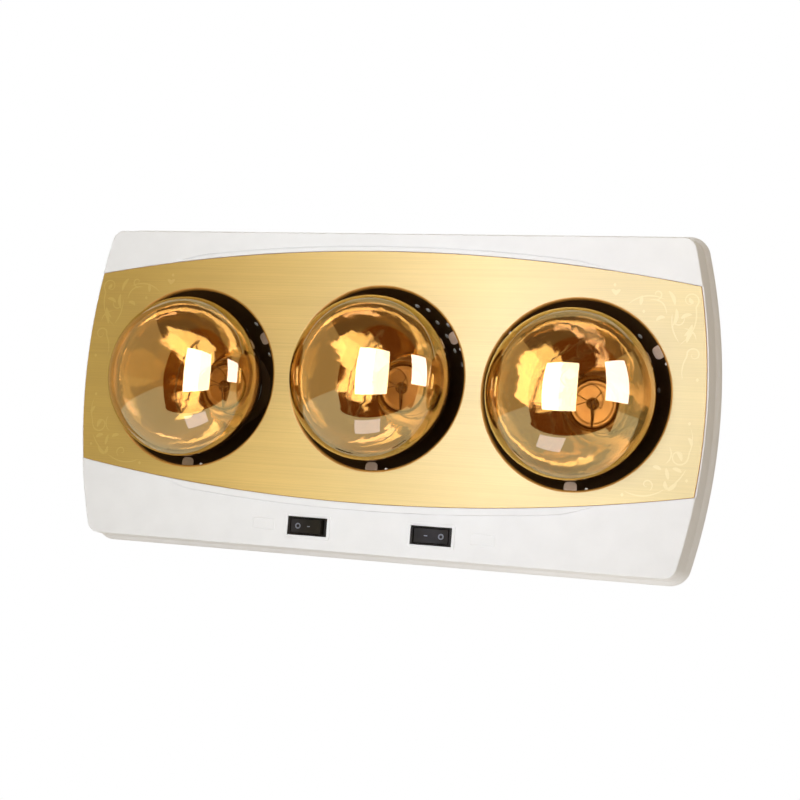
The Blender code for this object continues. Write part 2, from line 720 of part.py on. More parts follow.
def add_stems():
    """Glass stem with its heat disc, standing in the lamp's neck."""
    tail = GLASS_TAIL_RADIUS - GLASS_WALL - SEAT_GAP
    end = CAP_FRONT + GLASS_TAIL_LENGTH - SEAT_GAP
    disc_back = HEAT_DISC_PLACE + HEAT_DISC_THICKNESS
    profile = [
        (0.0, STEM_FRONT), (STEM_RADIUS, STEM_FRONT), (STEM_RADIUS, HEAT_DISC_PLACE),
        (HEAT_DISC_RADIUS, HEAT_DISC_PLACE), (HEAT_DISC_RADIUS, disc_back), (STEM_RADIUS, disc_back),
        (STEM_RADIUS, end - STEM_FLARE_LENGTH), (tail, end - STEM_FLARE_LENGTH / 4), (tail, end), (0.0, end),
    ]
    lamp_copies("lamp_stem", turned(profile, CAP_SEGMENTS, closed=False), clear_glass())


def filament_points():
    """One wire from the stem, round the ring of the filament and back to the stem."""
    foot = STEM_FRONT - SEAT_GAP
    start = math.pi / 2 + FILAMENT_ARC / 2
    ring = arc((0.0, 0.0), FILAMENT_RADIUS, start, start - FILAMENT_ARC, FILAMENT_STEPS)
    points = [(-LEAD_SPACING, foot, 0.0)]
    points.append((-LEAD_SPACING, (foot * 3 + FILAMENT_PLACE) / 4, 0.0))
    points += [(x, FILAMENT_PLACE, z) for x, z in ring]
    points.append((LEAD_SPACING, (foot * 3 + FILAMENT_PLACE) / 4, 0.0))
    points.append((LEAD_SPACING, foot, 0.0))
    return points


def add_tube(name, points, radius, material, place, sides=WIRE_SIDES):
    """A round wire along points, as a bevelled curve with filled ends."""
    curve = bpy.data.curves.new(name, "CURVE")
    curve.dimensions = "3D"
    curve.bevel_depth = radius
    curve.bevel_resolution = sides
    curve.use_fill_caps = True
    line = curve.splines.new("POLY")
    line.points.add(len(points) - 1)
    for knot, point in zip(line.points, points):
        knot.co = (*point, 1.0)
    line.use_smooth = True
    curve.materials.append(material)
    return add_copy(name, curve, place)


def add_filaments():
    for name, (x, z) in LAMPS.items():
        add_tube(f"lamp_filament_{name}", filament_points(), FILAMENT_WIRE, tungsten(),
                 (x, EQUATOR_Y, z - LAMP_SAG), sides=1)


def add_caps():
    """Threaded lamp caps with an open front for the glass."""
    bore = GLASS_TAIL_RADIUS + SEAT_GAP
    skirt_end = CAP_FRONT + CAP_SKIRT / 2
    profile = [(bore, CAP_FRONT), (CAP_CREST_RADIUS, CAP_FRONT), (CAP_CREST_RADIUS, skirt_end)]
    for turn in range(CAP_THREADS):
        start = CAP_FRONT + CAP_SKIRT + turn * CAP_THREAD_PITCH
        profile.append((CAP_ROOT_RADIUS, start))
        profile.append((CAP_CREST_RADIUS, start + CAP_THREAD_PITCH / 2))
    profile.append((CAP_ROOT_RADIUS, CAP_BACK - CAP_END))
    profile.append((CAP_ROOT_RADIUS, CAP_BACK))
    profile.append((bore, CAP_BACK))
    lamp_copies("lamp_cap", turned(profile, CAP_SEGMENTS), brass())


def add_contacts():
    """Centre contact on its insulating plug, at the end of each cap."""
    plug = GLASS_TAIL_RADIUS
    profile = [
        (0.0, CAP_BACK - CONTACT_PLUG), (plug, CAP_BACK - CONTACT_PLUG), (plug, CAP_BACK),
        (CONTACT_RADIUS, CAP_BACK + CONTACT_CONE), (CONTACT_RADIUS * 0.8, CONTACT_END), (0.0, CONTACT_END),
    ]
    lamp_copies("lamp_contact", turned(profile, CAP_SEGMENTS, closed=False), brass())


def add_lampholders():
    """Porcelain screw lampholders, one behind each lamp."""
    bore = CAP_CREST_RADIUS + HOLDER_BORE_GAP
    front = CAP_FRONT + HOLDER_FRONT_GAP
    floor = CONTACT_END + SEAT_GAP
    back = floor + HOLDER_BASE
    profile = [
        (0.0, floor), (bore, floor), (bore, front), (HOLDER_RIM_RADIUS, front),
        (HOLDER_RIM_RADIUS, front + HOLDER_RIM_LENGTH), (HOLDER_RADIUS, front + HOLDER_RIM_LENGTH * 1.3),
        (HOLDER_RADIUS, back - HOLDER_BASE / 4), (HOLDER_RIM_RADIUS, back), (0.0, back),
    ]
    lamp_copies("lampholder", turned(profile, HOLDER_SEGMENTS, closed=False), porcelain())


def add_rail():
    """Hat-shaped steel rail on the housing's back, which carries the three lampholders."""
    half = RAIL_SPAN / 2
    low = -PANEL_FRONT - SEAT_GAP
    top = -RAIL_FRONT + RAIL_STEEL
    points = [
        (-half - RAIL_FOOT, low), (-half - RAIL_FOOT, low - RAIL_STEEL), (-half, low - RAIL_STEEL),
        (-half, -RAIL_FRONT), (half, -RAIL_FRONT), (half, low - RAIL_STEEL),
        (half + RAIL_FOOT, low - RAIL_STEEL), (half + RAIL_FOOT, low),
        (half - RAIL_STEEL, low), (half - RAIL_STEEL, top), (-half + RAIL_STEEL, top),
        (-half + RAIL_STEEL, low),
    ]
    reach = LAMP_PITCH + RAIL_OVERHANG
    add_mesh("holder_rail", prism(points, -reach, reach, axis="X"), bright_steel(), (0.0, 0.0, RAIL_RISE))


def housing_ring(outset, y):
    return [(x, y, z) for x, z in outline(outset, HOUSING_CORNER_RADIUS)]


def add_housing():
    """Rear housing: a sheet tub with an outward flange, vents, hook slots and a cable hole."""
    flange_front = FLANGE_DEPTH - FACE_DEPTH
    flange_outset = COVER_FLARE - COVER_RIM_WALL - HOUSING_RIM_CLEARANCE
    inner = -HOUSING_INSET - HOUSING_WALL
    rings = [
        housing_ring(inner - HOUSING_BACK_ROUND, -PANEL_FRONT),
        housing_ring(inner, -PANEL_FRONT - HOUSING_BACK_ROUND),
        housing_ring(inner, flange_front),
        housing_ring(flange_outset, flange_front),
        housing_ring(flange_outset, flange_front + HOUSING_WALL),
        housing_ring(-HOUSING_INSET, flange_front + HOUSING_WALL),
        housing_ring(-HOUSING_INSET, -PANEL_BACK - HOUSING_BACK_ROUND),
        housing_ring(-HOUSING_INSET - HOUSING_BACK_ROUND, -PANEL_BACK),
    ]
    housing = add_mesh("rear_housing", loft(rings), coated_steel())
    for index, (x, z) in enumerate(boss_places()):
        hole = solid_round(SCREW_RADIUS + SEAT_GAP, flange_front - CUT_OVERRUN,
                           flange_front + HOUSING_WALL + CUT_OVERRUN, SCREW_SEGMENTS)
        cut(housing, add_mesh(f"tool_flange_hole_{index}", hole, coated_steel(), (x, 0.0, z)))
    slot_top = hook_top() + SEAT_GAP
    for side in (-1, 1):
        half = HOOK_WIDTH / 2 + SEAT_GAP
        low = (side * HOOK_PLACE - half, -PANEL_FRONT - CUT_OVERRUN, slot_top - HOOK_HEIGHT - HOOK_SLOT_PLAY)
        high = (side * HOOK_PLACE + half, -PANEL_BACK + CUT_OVERRUN / 2, slot_top)
        cut(housing, add_mesh(f"tool_hook_slot_{side}", block(low, high), coated_steel()))
    add_vents(housing)
    hole = solid_round(GLAND_STEM_RADIUS + SEAT_GAP, gland_wall_z() - CUT_OVERRUN,
                       gland_wall_z() + HOUSING_WALL + CUT_OVERRUN, GLAND_SEGMENTS, axis=(0.0, 0.0, 1.0))
    gland_place = (GLAND_PLACE, GLAND_DEPTH - FACE_DEPTH, 0.0)
    cut(housing, add_mesh("tool_gland_hole", hole, coated_steel(), gland_place))
    return housing


def add_vents(housing):
    """Cuts rows of slots through the top and bottom walls, behind the outer lamps."""
    middle = (FLANGE_DEPTH - FACE_DEPTH - PANEL_FRONT) / 2
    walls = ((FACE_TOP - HOUSING_INSET, "top"), (-FACE_BOTTOM + HOUSING_INSET, "bottom"))
    for z, label in walls:
        for side in (-1, 1):
            for index in range(VENTS_PER_GROUP):
                offset = (index - (VENTS_PER_GROUP - 1) / 2) * VENT_PITCH
                x = side * VENT_GROUP_PLACE + offset
                low = (x - VENT_WIDTH / 2, middle - VENT_LENGTH / 2, z - CUT_OVERRUN)
                high = (x + VENT_WIDTH / 2, middle + VENT_LENGTH / 2, z + CUT_OVERRUN)
                name = f"tool_vent_{label}_{side}_{index}"
                cut(housing, add_mesh(name, block(low, high), coated_steel()))


def hook_top():
    """Height of the ledge of each hook, on which the housing hangs."""
    return BRACKET_TOP - HOOK_DROP


def add_wall_bracket():
    """Flat bracket on the wall, with two hooks that reach through the housing's back."""
    half = BRACKET_WIDTH / 2
    low = (-half, -BRACKET_THICKNESS, -BRACKET_BOTTOM)
    bracket = add_mesh("wall_bracket", block(low, (half, 0.0, BRACKET_TOP)), bright_steel())
    ledge = hook_top() - HOOK_STEEL
    inside = -PANEL_FRONT - SEAT_GAP
    for side in (-1, 1):
        left = side * HOOK_PLACE - HOOK_WIDTH / 2
        points = [
            (ledge, -BRACKET_THICKNESS / 2), (hook_top(), -BRACKET_THICKNESS / 2), (hook_top(), inside),
            (ledge + HOOK_HEIGHT, inside), (ledge + HOOK_HEIGHT, inside - HOOK_STEEL),
            (ledge, inside - HOOK_STEEL),
        ]
        hook = prism(points, left, left + HOOK_WIDTH, axis="X")
        join(bracket, add_mesh(f"tool_hook_{side}", hook, bright_steel()))
    for side in (-1, 1):
        hole = solid_round(BRACKET_HOLE_RADIUS, -BRACKET_THICKNESS - CUT_OVERRUN, CUT_OVERRUN, PIVOT_SEGMENTS)
        place = (side * HOOK_PLACE, 0.0, (BRACKET_TOP - BRACKET_BOTTOM) / 2)
        cut(bracket, add_mesh(f"tool_wall_hole_{side}", hole, bright_steel(), place))
    return bracket


def add_cover_screws():
    """Four pan-head screws, driven from behind through the flange into the bosses."""
    seat = FLANGE_DEPTH - FACE_DEPTH + HOUSING_WALL + SEAT_GAP
    tip = FLANGE_DEPTH - FACE_DEPTH - SCREW_LENGTH + SEAT_GAP
    profile = [
        (0.0, tip), (SCREW_RADIUS / 2, tip), (SCREW_RADIUS, tip + SCREW_RADIUS), (SCREW_RADIUS, seat),
        (SCREW_HEAD_RADIUS, seat), (SCREW_HEAD_RADIUS, seat + SCREW_HEAD_HEIGHT / 2),
        (SCREW_HEAD_RADIUS / 2, seat + SCREW_HEAD_HEIGHT), (0.0, seat + SCREW_HEAD_HEIGHT),
    ]
    mesh = None
    for number, (x, z) in enumerate(boss_places(), start=1):
        if mesh is None:
            shape = turned(profile, SCREW_SEGMENTS, closed=False)
            mesh = add_mesh(f"cover_screw_{number}", shape, bright_steel(), (x, 0.0, z)).data
        else:
            add_copy(f"cover_screw_{number}", mesh, (x, 0.0, z))


def frame_ring(width, height, depth):
    return [
        (-width / 2, depth, -height / 2), (width / 2, depth, -height / 2),
        (width / 2, depth, height / 2), (-width / 2, depth, height / 2),
    ]


def add_switch_body(name, x, off_side):
    """Switch housing: a bezel, a hollow for the rocker and a base with two blade slots."""
    bezel_back = BEZEL_FRONT + BEZEL_THICKNESS
    base_back = SWITCH_FLOOR_DEPTH + SWITCH_BASE
    rings = [
        frame_ring(SWITCH_OPENING_WIDTH, SWITCH_OPENING_HEIGHT, SWITCH_FLOOR_DEPTH),
        frame_ring(SWITCH_OPENING_WIDTH, SWITCH_OPENING_HEIGHT, BEZEL_FRONT),
        frame_ring(BEZEL_WIDTH, BEZEL_HEIGHT, BEZEL_FRONT),
        frame_ring(BEZEL_WIDTH, BEZEL_HEIGHT, bezel_back),
        frame_ring(SWITCH_BODY_WIDTH, SWITCH_BODY_HEIGHT, bezel_back),
        frame_ring(SWITCH_BODY_WIDTH, SWITCH_BODY_HEIGHT, base_back),
    ]
    place = (x, -FACE_DEPTH, -SWITCH_DROP)
    body = add_mesh(f"switch_body_{name}", loft(rings), black_plastic(), place)
    reach = SWITCH_BODY_HEIGHT / 2 + CUT_OVERRUN
    hole = solid_round(PIVOT_PIN_RADIUS + SEAT_GAP, -reach, reach, PIVOT_SEGMENTS, axis=(0.0, 0.0, 1.0))
    cut(body, add_mesh(f"tool_pivot_hole_{name}", hole, black_plastic(), pivot_place(x)))
    for kind, offset in (("middle", 0.0), ("pad", off_side * CONTACT_PAD_PLACE)):
        half = BLADE_THICKNESS / 2 + SEAT_GAP
        half_height = BLADE_WIDTH / 2 + SEAT_GAP
        low = (offset - half, SWITCH_FLOOR_DEPTH - CUT_OVERRUN, -half_height)
        high = (offset + half, base_back + CUT_OVERRUN, half_height)
        cut(body, add_mesh(f"tool_blade_slot_{kind}_{name}", block(low, high), black_plastic(), place))
    return body


def pivot_place(x):
    return (x, PIVOT_DEPTH - FACE_DEPTH, -SWITCH_DROP)


def add_rocker(name, x, off_side):
    """Rocker at rest with its off side pressed in. Its origin is on its pivot."""
    end = ROCKER_FACE + ROCKER_HALF_LENGTH * math.tan(ROCKER_TILT)
    points = [
        (0.0, -ROCKER_FACE), (ROCKER_HALF_LENGTH, -end), (ROCKER_HALF_LENGTH, ROCKER_SKIRT),
        (ROCKER_BELLY_HALF, ROCKER_BELLY), (ROCKER_NUB_HALF, ROCKER_BELLY), (ROCKER_NUB_HALF, ROCKER_NUB),
        (-ROCKER_NUB_HALF, ROCKER_NUB), (-ROCKER_NUB_HALF, ROCKER_BELLY), (-ROCKER_BELLY_HALF, ROCKER_BELLY),
        (-ROCKER_HALF_LENGTH, ROCKER_SKIRT), (-ROCKER_HALF_LENGTH, -end),
    ]
    place = pivot_place(x)
    shape = prism(points, -ROCKER_HEIGHT / 2, ROCKER_HEIGHT / 2, axis="Z")
    rocker = add_mesh(f"rocker_{name}", shape, black_plastic(), place)
    reach = SWITCH_OPENING_HEIGHT / 2 + PIVOT_PIN_REACH
    pin = add_mesh(f"tool_pin_{name}",
                   solid_round(PIVOT_PIN_RADIUS, -reach, reach, PIVOT_SEGMENTS, axis=(0.0, 0.0, 1.0)),
                   black_plastic(), place)
    join(rocker, pin)
    rocker.rotation_euler = (0.0, 0.0, off_side * ROCKER_TILT)
    return rocker


def add_contact_lever(name, x, off_side):
    """Brass seesaw under the rocker's nub, tipped the other way. Its origin is on its pivot."""
    half = LEVER_HALF_LENGTH
    points = [(-half, 0.0), (half, 0.0), (half, LEVER_THICKNESS), (-half, LEVER_THICKNESS)]
    shape = prism(points, -LEVER_WIDTH / 2, LEVER_WIDTH / 2, axis="Z")
    place = (x, LEVER_DEPTH - FACE_DEPTH, -SWITCH_DROP)
    lever = add_mesh(f"contact_lever_{name}", shape, brass(), place)
    lever.rotation_euler = (0.0, 0.0, -off_side * ROCKER_TILT)
    return lever


def add_blades(name, x, off_side):
    """Two blade terminals: the middle one carries the lever, the other is its contact."""
    lever_back = LEVER_DEPTH + LEVER_THICKNESS + SEAT_GAP
    pad_drop = LEVER_HALF_LENGTH * math.sin(ROCKER_TILT)
    starts = {"middle": (0.0, lever_back), "pad": (off_side * CONTACT_PAD_PLACE, lever_back + pad_drop)}
    for kind, (offset, start) in starts.items():
        low = (offset - BLADE_THICKNESS / 2, start, -BLADE_WIDTH / 2)
        high = (offset + BLADE_THICKNESS / 2, BLADE_END_DEPTH, BLADE_WIDTH / 2)
        add_mesh(f"switch_blade_{name}_{kind}", block(low, high), brass(), (x, -FACE_DEPTH, -SWITCH_DROP))


def add_switches():
    for name, (x, off_side) in SWITCHES.items():
        add_switch_body(name, x, off_side)
        add_rocker(name, x, off_side)
        add_contact_lever(name, x, off_side)
        add_blades(name, x, off_side)


def add_terminal_block():
    """Three-pole connector block on the housing's back, waisted between its poles."""
    half = BLOCK_HEIGHT / 2
    lower = []
    start = -(BLOCK_POLES - 1) / 2 * BLOCK_PITCH
    for pole in range(BLOCK_POLES):
        x = start + pole * BLOCK_PITCH
        lower += [(x - BLOCK_POLE_WIDTH / 2, -half), (x + BLOCK_POLE_WIDTH / 2, -half)]
        if pole < BLOCK_POLES - 1:
            lower += [(x + BLOCK_POLE_WIDTH / 2, -half + BLOCK_NOTCH),
                      (x + BLOCK_PITCH - BLOCK_POLE_WIDTH / 2, -half + BLOCK_NOTCH)]
    points = lower + [(x, -z) for x, z in reversed(lower)]
    back = -PANEL_FRONT - SEAT_GAP
    add_mesh("terminal_block", prism(points, back - BLOCK_DEPTH, back), porcelain(),
             (BLOCK_PLACE[0], 0.0, BLOCK_PLACE[1]))


def gland_wall_z():
    """Height of the outer face of the housing's bottom wall."""
    return -FACE_BOTTOM + HOUSING_INSET


def add_gland():
    """Cable gland in the bottom wall: inner nut, stem through the wall, body and clamping cap."""
    wall = gland_wall_z()
    inside = wall + HOUSING_WALL + SEAT_GAP
    outside = wall - SEAT_GAP
    body_end = outside - GLAND_NUT_HEIGHT
    cap_end = body_end - GLAND_CAP_HEIGHT
    profile = [
        (GLAND_BORE_RADIUS, inside + GLAND_NUT_HEIGHT), (GLAND_NUT_RADIUS, inside + GLAND_NUT_HEIGHT),
        (GLAND_NUT_RADIUS, inside), (GLAND_STEM_RADIUS, inside), (GLAND_STEM_RADIUS, outside),
        (GLAND_NUT_RADIUS, outside), (GLAND_NUT_RADIUS, body_end), (GLAND_CAP_RADIUS, body_end),
        (GLAND_CAP_RADIUS * GLAND_TAPER_SHARE, cap_end), (GLAND_BORE_RADIUS, cap_end),
    ]
    add_mesh("cable_gland", turned(profile, GLAND_SEGMENTS, axis=(0.0, 0.0, 1.0)), black_plastic(),
             (GLAND_PLACE, GLAND_DEPTH - FACE_DEPTH, 0.0))


def add_cutout():
    """Disc thermostat that opens the circuit when the housing gets too hot."""
    back = -PANEL_FRONT - SEAT_GAP
    profile = [
        (0.0, back), (CUTOUT_FLANGE_RADIUS, back), (CUTOUT_FLANGE_RADIUS, back - CUTOUT_FLANGE),
        (CUTOUT_RADIUS, back - CUTOUT_FLANGE), (CUTOUT_RADIUS, back - CUTOUT_HEIGHT),
        (0.0, back - CUTOUT_HEIGHT),
    ]
    add_mesh("thermal_cutout", turned(profile, HOLDER_SEGMENTS, closed=False), porcelain(),
             (CUTOUT_PLACE[0], 0.0, CUTOUT_PLACE[1]))


def add_earth_screw():
    back = -PANEL_FRONT - SEAT_GAP
    front = back - SCREW_HEAD_HEIGHT * 2
    washer = SCREW_HEAD_RADIUS * EARTH_WASHER_SHARE
    profile = [
        (0.0, back), (washer, back), (washer, back - SCREW_HEAD_HEIGHT),
        (SCREW_HEAD_RADIUS, back - SCREW_HEAD_HEIGHT), (SCREW_HEAD_RADIUS * 0.6, front), (0.0, front),
    ]
    add_mesh("earth_screw", turned(profile, SCREW_SEGMENTS, closed=False), brass(),
             (EARTH_PLACE[0], 0.0, EARTH_PLACE[1]))


def smooth_route(points):
    """Points on one smooth curve through a wire's own points, which doesn't overshoot at bends."""
    knots = [Vector(point) for point in points]
    knots = [knots[0] * 2 - knots[1]] + knots + [knots[-1] * 2 - knots[-2]]
    route = [knots[1]]
    for a, b, c, d in zip(knots, knots[1:], knots[2:], knots[3:]):
        first, middle, last = ((q - p).length ** 0.5 for p, q in ((a, b), (b, c), (c, d)))
        leave = (c - b) + ((b - a) / first - (c - a) / (first + middle)) * middle
        arrive = (c - b) + ((d - c) / last - (d - b) / (middle + last)) * middle
        for step in range(1, WIRE_SAMPLES + 1):
            t = step / WIRE_SAMPLES
            route.append(b * (1 + 2 * t) * (1 - t) ** 2 + leave * t * (1 - t) ** 2
                         + c * (3 - 2 * t) * t ** 2 - arrive * (1 - t) * t ** 2)
    return route


def blade_end(name, kind, z_offset):
    """A wire's end behind one blade of a switch, and the point where it may first bend."""
    x, off_side = SWITCHES[name]
    blade_x = x + (off_side * CONTACT_PAD_PLACE if kind == "pad" else 0.0)
    z = -SWITCH_DROP + z_offset
    y = BLADE_END_DEPTH - FACE_DEPTH + SEAT_GAP
    return [(blade_x, y, z), (blade_x, y + WIRE_TAIL, z)]


def round_edge(radius, x_offset):
    """How far from a round piece's centre a wire ends that meets it beside its middle."""
    inner = max(abs(x_offset) - WIRE_RADIUS, 0.0)
    return math.sqrt(radius ** 2 - inner ** 2) + SEAT_GAP


def holder_end(name, side, x_offset):
    """A wire's end on the upper (1) or lower (-1) edge of a lampholder, and its first bend."""
    x, z = LAMPS[name]
    edge = z - LAMP_SAG + side * round_edge(HOLDER_RADIUS, x_offset)
    return [(x + x_offset, lane(0), edge), (x + x_offset, lane(0), edge + side * WIRE_TAIL)]


def block_end(pole):
    """A wire's end on top of one pole of the terminal block, and its first bend."""
    x = BLOCK_PLACE[0] + (pole - (BLOCK_POLES - 1) / 2) * BLOCK_PITCH
    y = -PANEL_FRONT - SEAT_GAP - BLOCK_DEPTH / 2
    top = BLOCK_PLACE[1] + BLOCK_HEIGHT / 2 + SEAT_GAP
    return [(x, y, top), (x, y, top + WIRE_TAIL)]


def cutout_end(side):
    """A wire's end on the underside of the thermal cut-out, and its first bend."""
    x_offset = side * CUTOUT_RADIUS / 2
    x = CUTOUT_PLACE[0] + x_offset
    y = -PANEL_FRONT - CUTOUT_HEIGHT / 2
    low = CUTOUT_PLACE[1] - round_edge(CUTOUT_RADIUS, x_offset)
    return [(x, y, low), (x, y, low - WIRE_TAIL)]


def lane(number):
    """Distance from the wall of the layer in which a wire runs behind the bowls."""
    return -HOLDER_BACK - HOLDER_BASE - number * WIRE_LANE


def add_wires():
    """Leads between the block, the cut-out, the switches and the lampholders."""
    brown = wire_sleeve("brown_sleeve", (0.20, 0.09, 0.04))
    blue = wire_sleeve("blue_sleeve", (0.05, 0.12, 0.42))
    green = wire_sleeve("green_sleeve", (0.10, 0.36, 0.10))
    between = LAMP_PITCH / 2
    off = HOLDER_WIRE_OFFSET
    run_in, run_out = BLADE_WIRE_OFFSET, -BLADE_WIRE_OFFSET
    below = BLOCK_PLACE[1] + BLOCK_HEIGHT * BELOW_BOWLS_SHARE
    above = HOLDER_RADIUS * ABOVE_HOLDERS_SHARE
    halfway = -FACE_DEPTH / 2
    floor = -SWITCH_DROP
    add_wire("supply_lead", brown, block_end(0), [
        (BLOCK_PLACE[0] / 2, lane(1), below), (-between / 2, lane(1), below),
        (-between + WIRE_LANE, lane(1), below / 2), (-between + WIRE_LANE, lane(1), above / 2),
    ], cutout_end(1))
    add_wire("live_lead", brown, blade_end("left", "middle", run_in), [
        (-between + WIRE_LANE, halfway, floor + WIRE_TAIL), (-between - WIRE_LANE, lane(1), below),
        (-between - WIRE_LANE, lane(1), above / 2),
    ], cutout_end(-1))
    add_wire("switch_link", brown, blade_end("left", "middle", run_out), [
        (SWITCH_LEFT_PLACE / 2, halfway, floor + run_out), (SWITCH_RIGHT_PLACE / 2, halfway, floor + run_out),
    ], blade_end("right", "middle", run_out))
    for name, side in (("left", -1), ("right", 1)):
        add_wire(f"lamp_lead_{name}", brown, blade_end(name, "pad", 0.0), [
            (side * LAMP_PITCH * LAMP_LEAD_OUT_SHARE, halfway, floor),
            (side * (LAMP_PITCH + off), lane(2), floor * LAMP_LEAD_LOW_SHARE),
            (side * (LAMP_PITCH + off), lane(0), floor / 2),
        ], holder_end(name, -1, side * off))
    add_wire("live_link", brown, holder_end("left", -1, off), [
        (-LAMP_PITCH + 3 * off, lane(0), -above), (-3 * off, lane(0), -above),
    ], holder_end("middle", -1, 0.0))
    add_wire("neutral_lead", blue, block_end(1), [
        (between, lane(1), floor / 2), (between, lane(1), 0.0),
        (between + WIRE_TAIL, lane(1), above * NEUTRAL_CLIMB_SHARE),
        (LAMP_PITCH - 3 * off, lane(0), above * NEUTRAL_LEAD_SHARE),
    ], holder_end("right", 1, -off))
    add_wire("neutral_link_right", blue, holder_end("right", 1, off), [
        (LAMP_PITCH - off, lane(0), above * NEUTRAL_LINK_SHARE),
        (3 * off, lane(0), above * NEUTRAL_LINK_SHARE),
    ], holder_end("middle", 1, off))
    add_wire("neutral_link_left", blue, holder_end("middle", 1, -off), [
        (-4 * off, lane(0), above), (-LAMP_PITCH + 4 * off, lane(0), above),
    ], holder_end("left", 1, 0.0))
    earth_top = EARTH_PLACE[1] + SCREW_HEAD_RADIUS * EARTH_WASHER_SHARE + SEAT_GAP
    earth_y = -PANEL_FRONT - SEAT_GAP - SCREW_HEAD_HEIGHT
    add_wire("earth_lead", green, block_end(2), [
        ((BLOCK_PLACE[0] + EARTH_PLACE[0]) / 2 + BLOCK_PITCH / 2, earth_y - WIRE_RADIUS, block_end(2)[1][2]),
    ], [(EARTH_PLACE[0], earth_y, earth_top), (EARTH_PLACE[0], earth_y, earth_top + WIRE_TAIL)])


def add_wire(name, material, start, between, end):
    """A wire from one end, through chosen points, to the other end."""
    add_tube(name, smooth_route(start + between + end[::-1]), WIRE_RADIUS, material, (0.0, 0.0, 0.0))


def main():
    clear_scene()
    add_cover()
    add_faceplate()
    add_bowls()
    add_rings()
    add_glass()
    add_stems()
    add_filaments()
    add_caps()
    add_contacts()
    add_lampholders()
    add_rail()
    add_housing()
    add_wall_bracket()
    add_cover_screws()
    add_switches()
    add_terminal_block()
    add_gland()
    add_cutout()
    add_earth_screw()
    add_wires()


main()
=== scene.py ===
# %% [markdown]
# # A bathroom heat lamp
# The lamp hangs on a wall and shines forward from three gold-coated reflector lamps. The imported model
# already has every piece at its real size. This lesson gives the pieces that show a finer surface, and
# gives every piece a finish, in the same frame: metres, +X to the right, +Y into the wall and +Z up.

# %% The frame
import math

import bmesh
import bpy
from mathutils import Matrix, Vector


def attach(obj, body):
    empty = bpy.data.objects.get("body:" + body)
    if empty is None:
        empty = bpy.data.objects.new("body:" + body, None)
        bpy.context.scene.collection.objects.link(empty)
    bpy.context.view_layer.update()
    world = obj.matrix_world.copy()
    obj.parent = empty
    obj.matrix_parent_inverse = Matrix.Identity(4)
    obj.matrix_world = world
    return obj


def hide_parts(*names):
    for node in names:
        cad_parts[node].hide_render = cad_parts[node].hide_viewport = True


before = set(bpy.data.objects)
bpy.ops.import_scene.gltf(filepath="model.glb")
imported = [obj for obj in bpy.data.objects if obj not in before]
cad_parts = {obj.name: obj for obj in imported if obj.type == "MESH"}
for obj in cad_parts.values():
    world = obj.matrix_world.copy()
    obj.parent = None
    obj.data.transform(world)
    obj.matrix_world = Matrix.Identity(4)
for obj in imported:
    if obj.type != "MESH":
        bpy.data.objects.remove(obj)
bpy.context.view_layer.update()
print("pieces in the frame:", len(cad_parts))

# %% [markdown]
# ## Lathe and loft
# Most pieces here are either turned, like a bowl on a lathe, or drawn as an outline that is carried
# through a few depths, like a moulded tray. Blender's Spin operator and a grid of faces between rings
# make those two families, so each piece below is only a profile or a list of outlines. Both ways give
# a bmesh, which is quick to build and easy to turn or move before it becomes an object.


# %% Lathe and loft
MERGE_DISTANCE = 1e-6


def turned(profile, segments, closed=True):
    """A body turned about the Y axis from (radius, depth) points, like work on a lathe."""
    shape = bmesh.new()
    verts = [shape.verts.new((radius, depth, 0.0)) for radius, depth in profile]
    edges = [shape.edges.new(pair) for pair in zip(verts, verts[1:])]
    if closed:
        edges.append(shape.edges.new((verts[-1], verts[0])))
    bmesh.ops.spin(shape, geom=verts + edges, cent=(0, 0, 0), axis=(0, 1, 0), angle=math.tau,
                   steps=segments, use_merge=True)
    bmesh.ops.remove_doubles(shape, verts=shape.verts, dist=MERGE_DISTANCE)
    return shape


def lofted(rings, capped=True):
    """A body through rings of equally many points. Without caps, the last ring joins the first."""
    shape = bmesh.new()
    loops = [[shape.verts.new(point) for point in ring] for ring in rings]
    pairs = list(zip(loops, loops[1:]))
    if not capped:
        pairs.append((loops[-1], loops[0]))
    for near, far in pairs:
        for index in range(len(near)):
            following = (index + 1) % len(near)
            shape.faces.new((near[index], near[following], far[following], far[index]))
    if capped:
        shape.faces.new(loops[0])
        shape.faces.new(loops[-1])
    return shape


print("points merge within", MERGE_DISTANCE, "metres")

# %% [markdown]
# ## From a bmesh to a finished object
# A new object gets its place in its mesh, so that the object itself stays at the origin. Modifiers such as a
# Boolean, a Bevel or a tree of geometry nodes are worked out once and kept as a plain mesh, which the frame's
# own functions read.


# %% Objects and plain meshes
def linked(name, data):
    """A new object in the scene that holds a mesh, a light or a camera."""
    item = bpy.data.objects.new(name, data)
    bpy.context.scene.collection.objects.link(item)
    return item


def plain_mesh(name, shape, *finishes):
    """Turns a bmesh into a mesh with one or more finishes."""
    mesh = bpy.data.meshes.new(name)
    shape.to_mesh(mesh)
    shape.free()
    for finish in finishes:
        mesh.materials.append(finish)
    return mesh


def new_piece(name, shape, finish, place=(0.0, 0.0, 0.0), sharp=35):
    """Turns a bmesh into an object, with its place in its mesh and its faces pointing out."""
    bmesh.ops.recalc_face_normals(shape, faces=shape.faces)
    bmesh.ops.translate(shape, verts=shape.verts, vec=place)
    mesh = plain_mesh(name, shape, finish)
    mesh.shade_smooth()
    mesh.set_sharp_from_angle(angle=math.radians(sharp))
    return linked(name, mesh)


def settle(item):
    """Replaces an object's mesh and modifiers by the plain mesh that they make."""
    bpy.context.view_layer.update()
    graph = bpy.context.evaluated_depsgraph_get()
    mesh = bpy.data.meshes.new_from_object(item.evaluated_get(graph), depsgraph=graph)
    item.modifiers.clear()
    item.data = mesh
    return item


print("meshes of the packed model:", len(bpy.data.meshes))

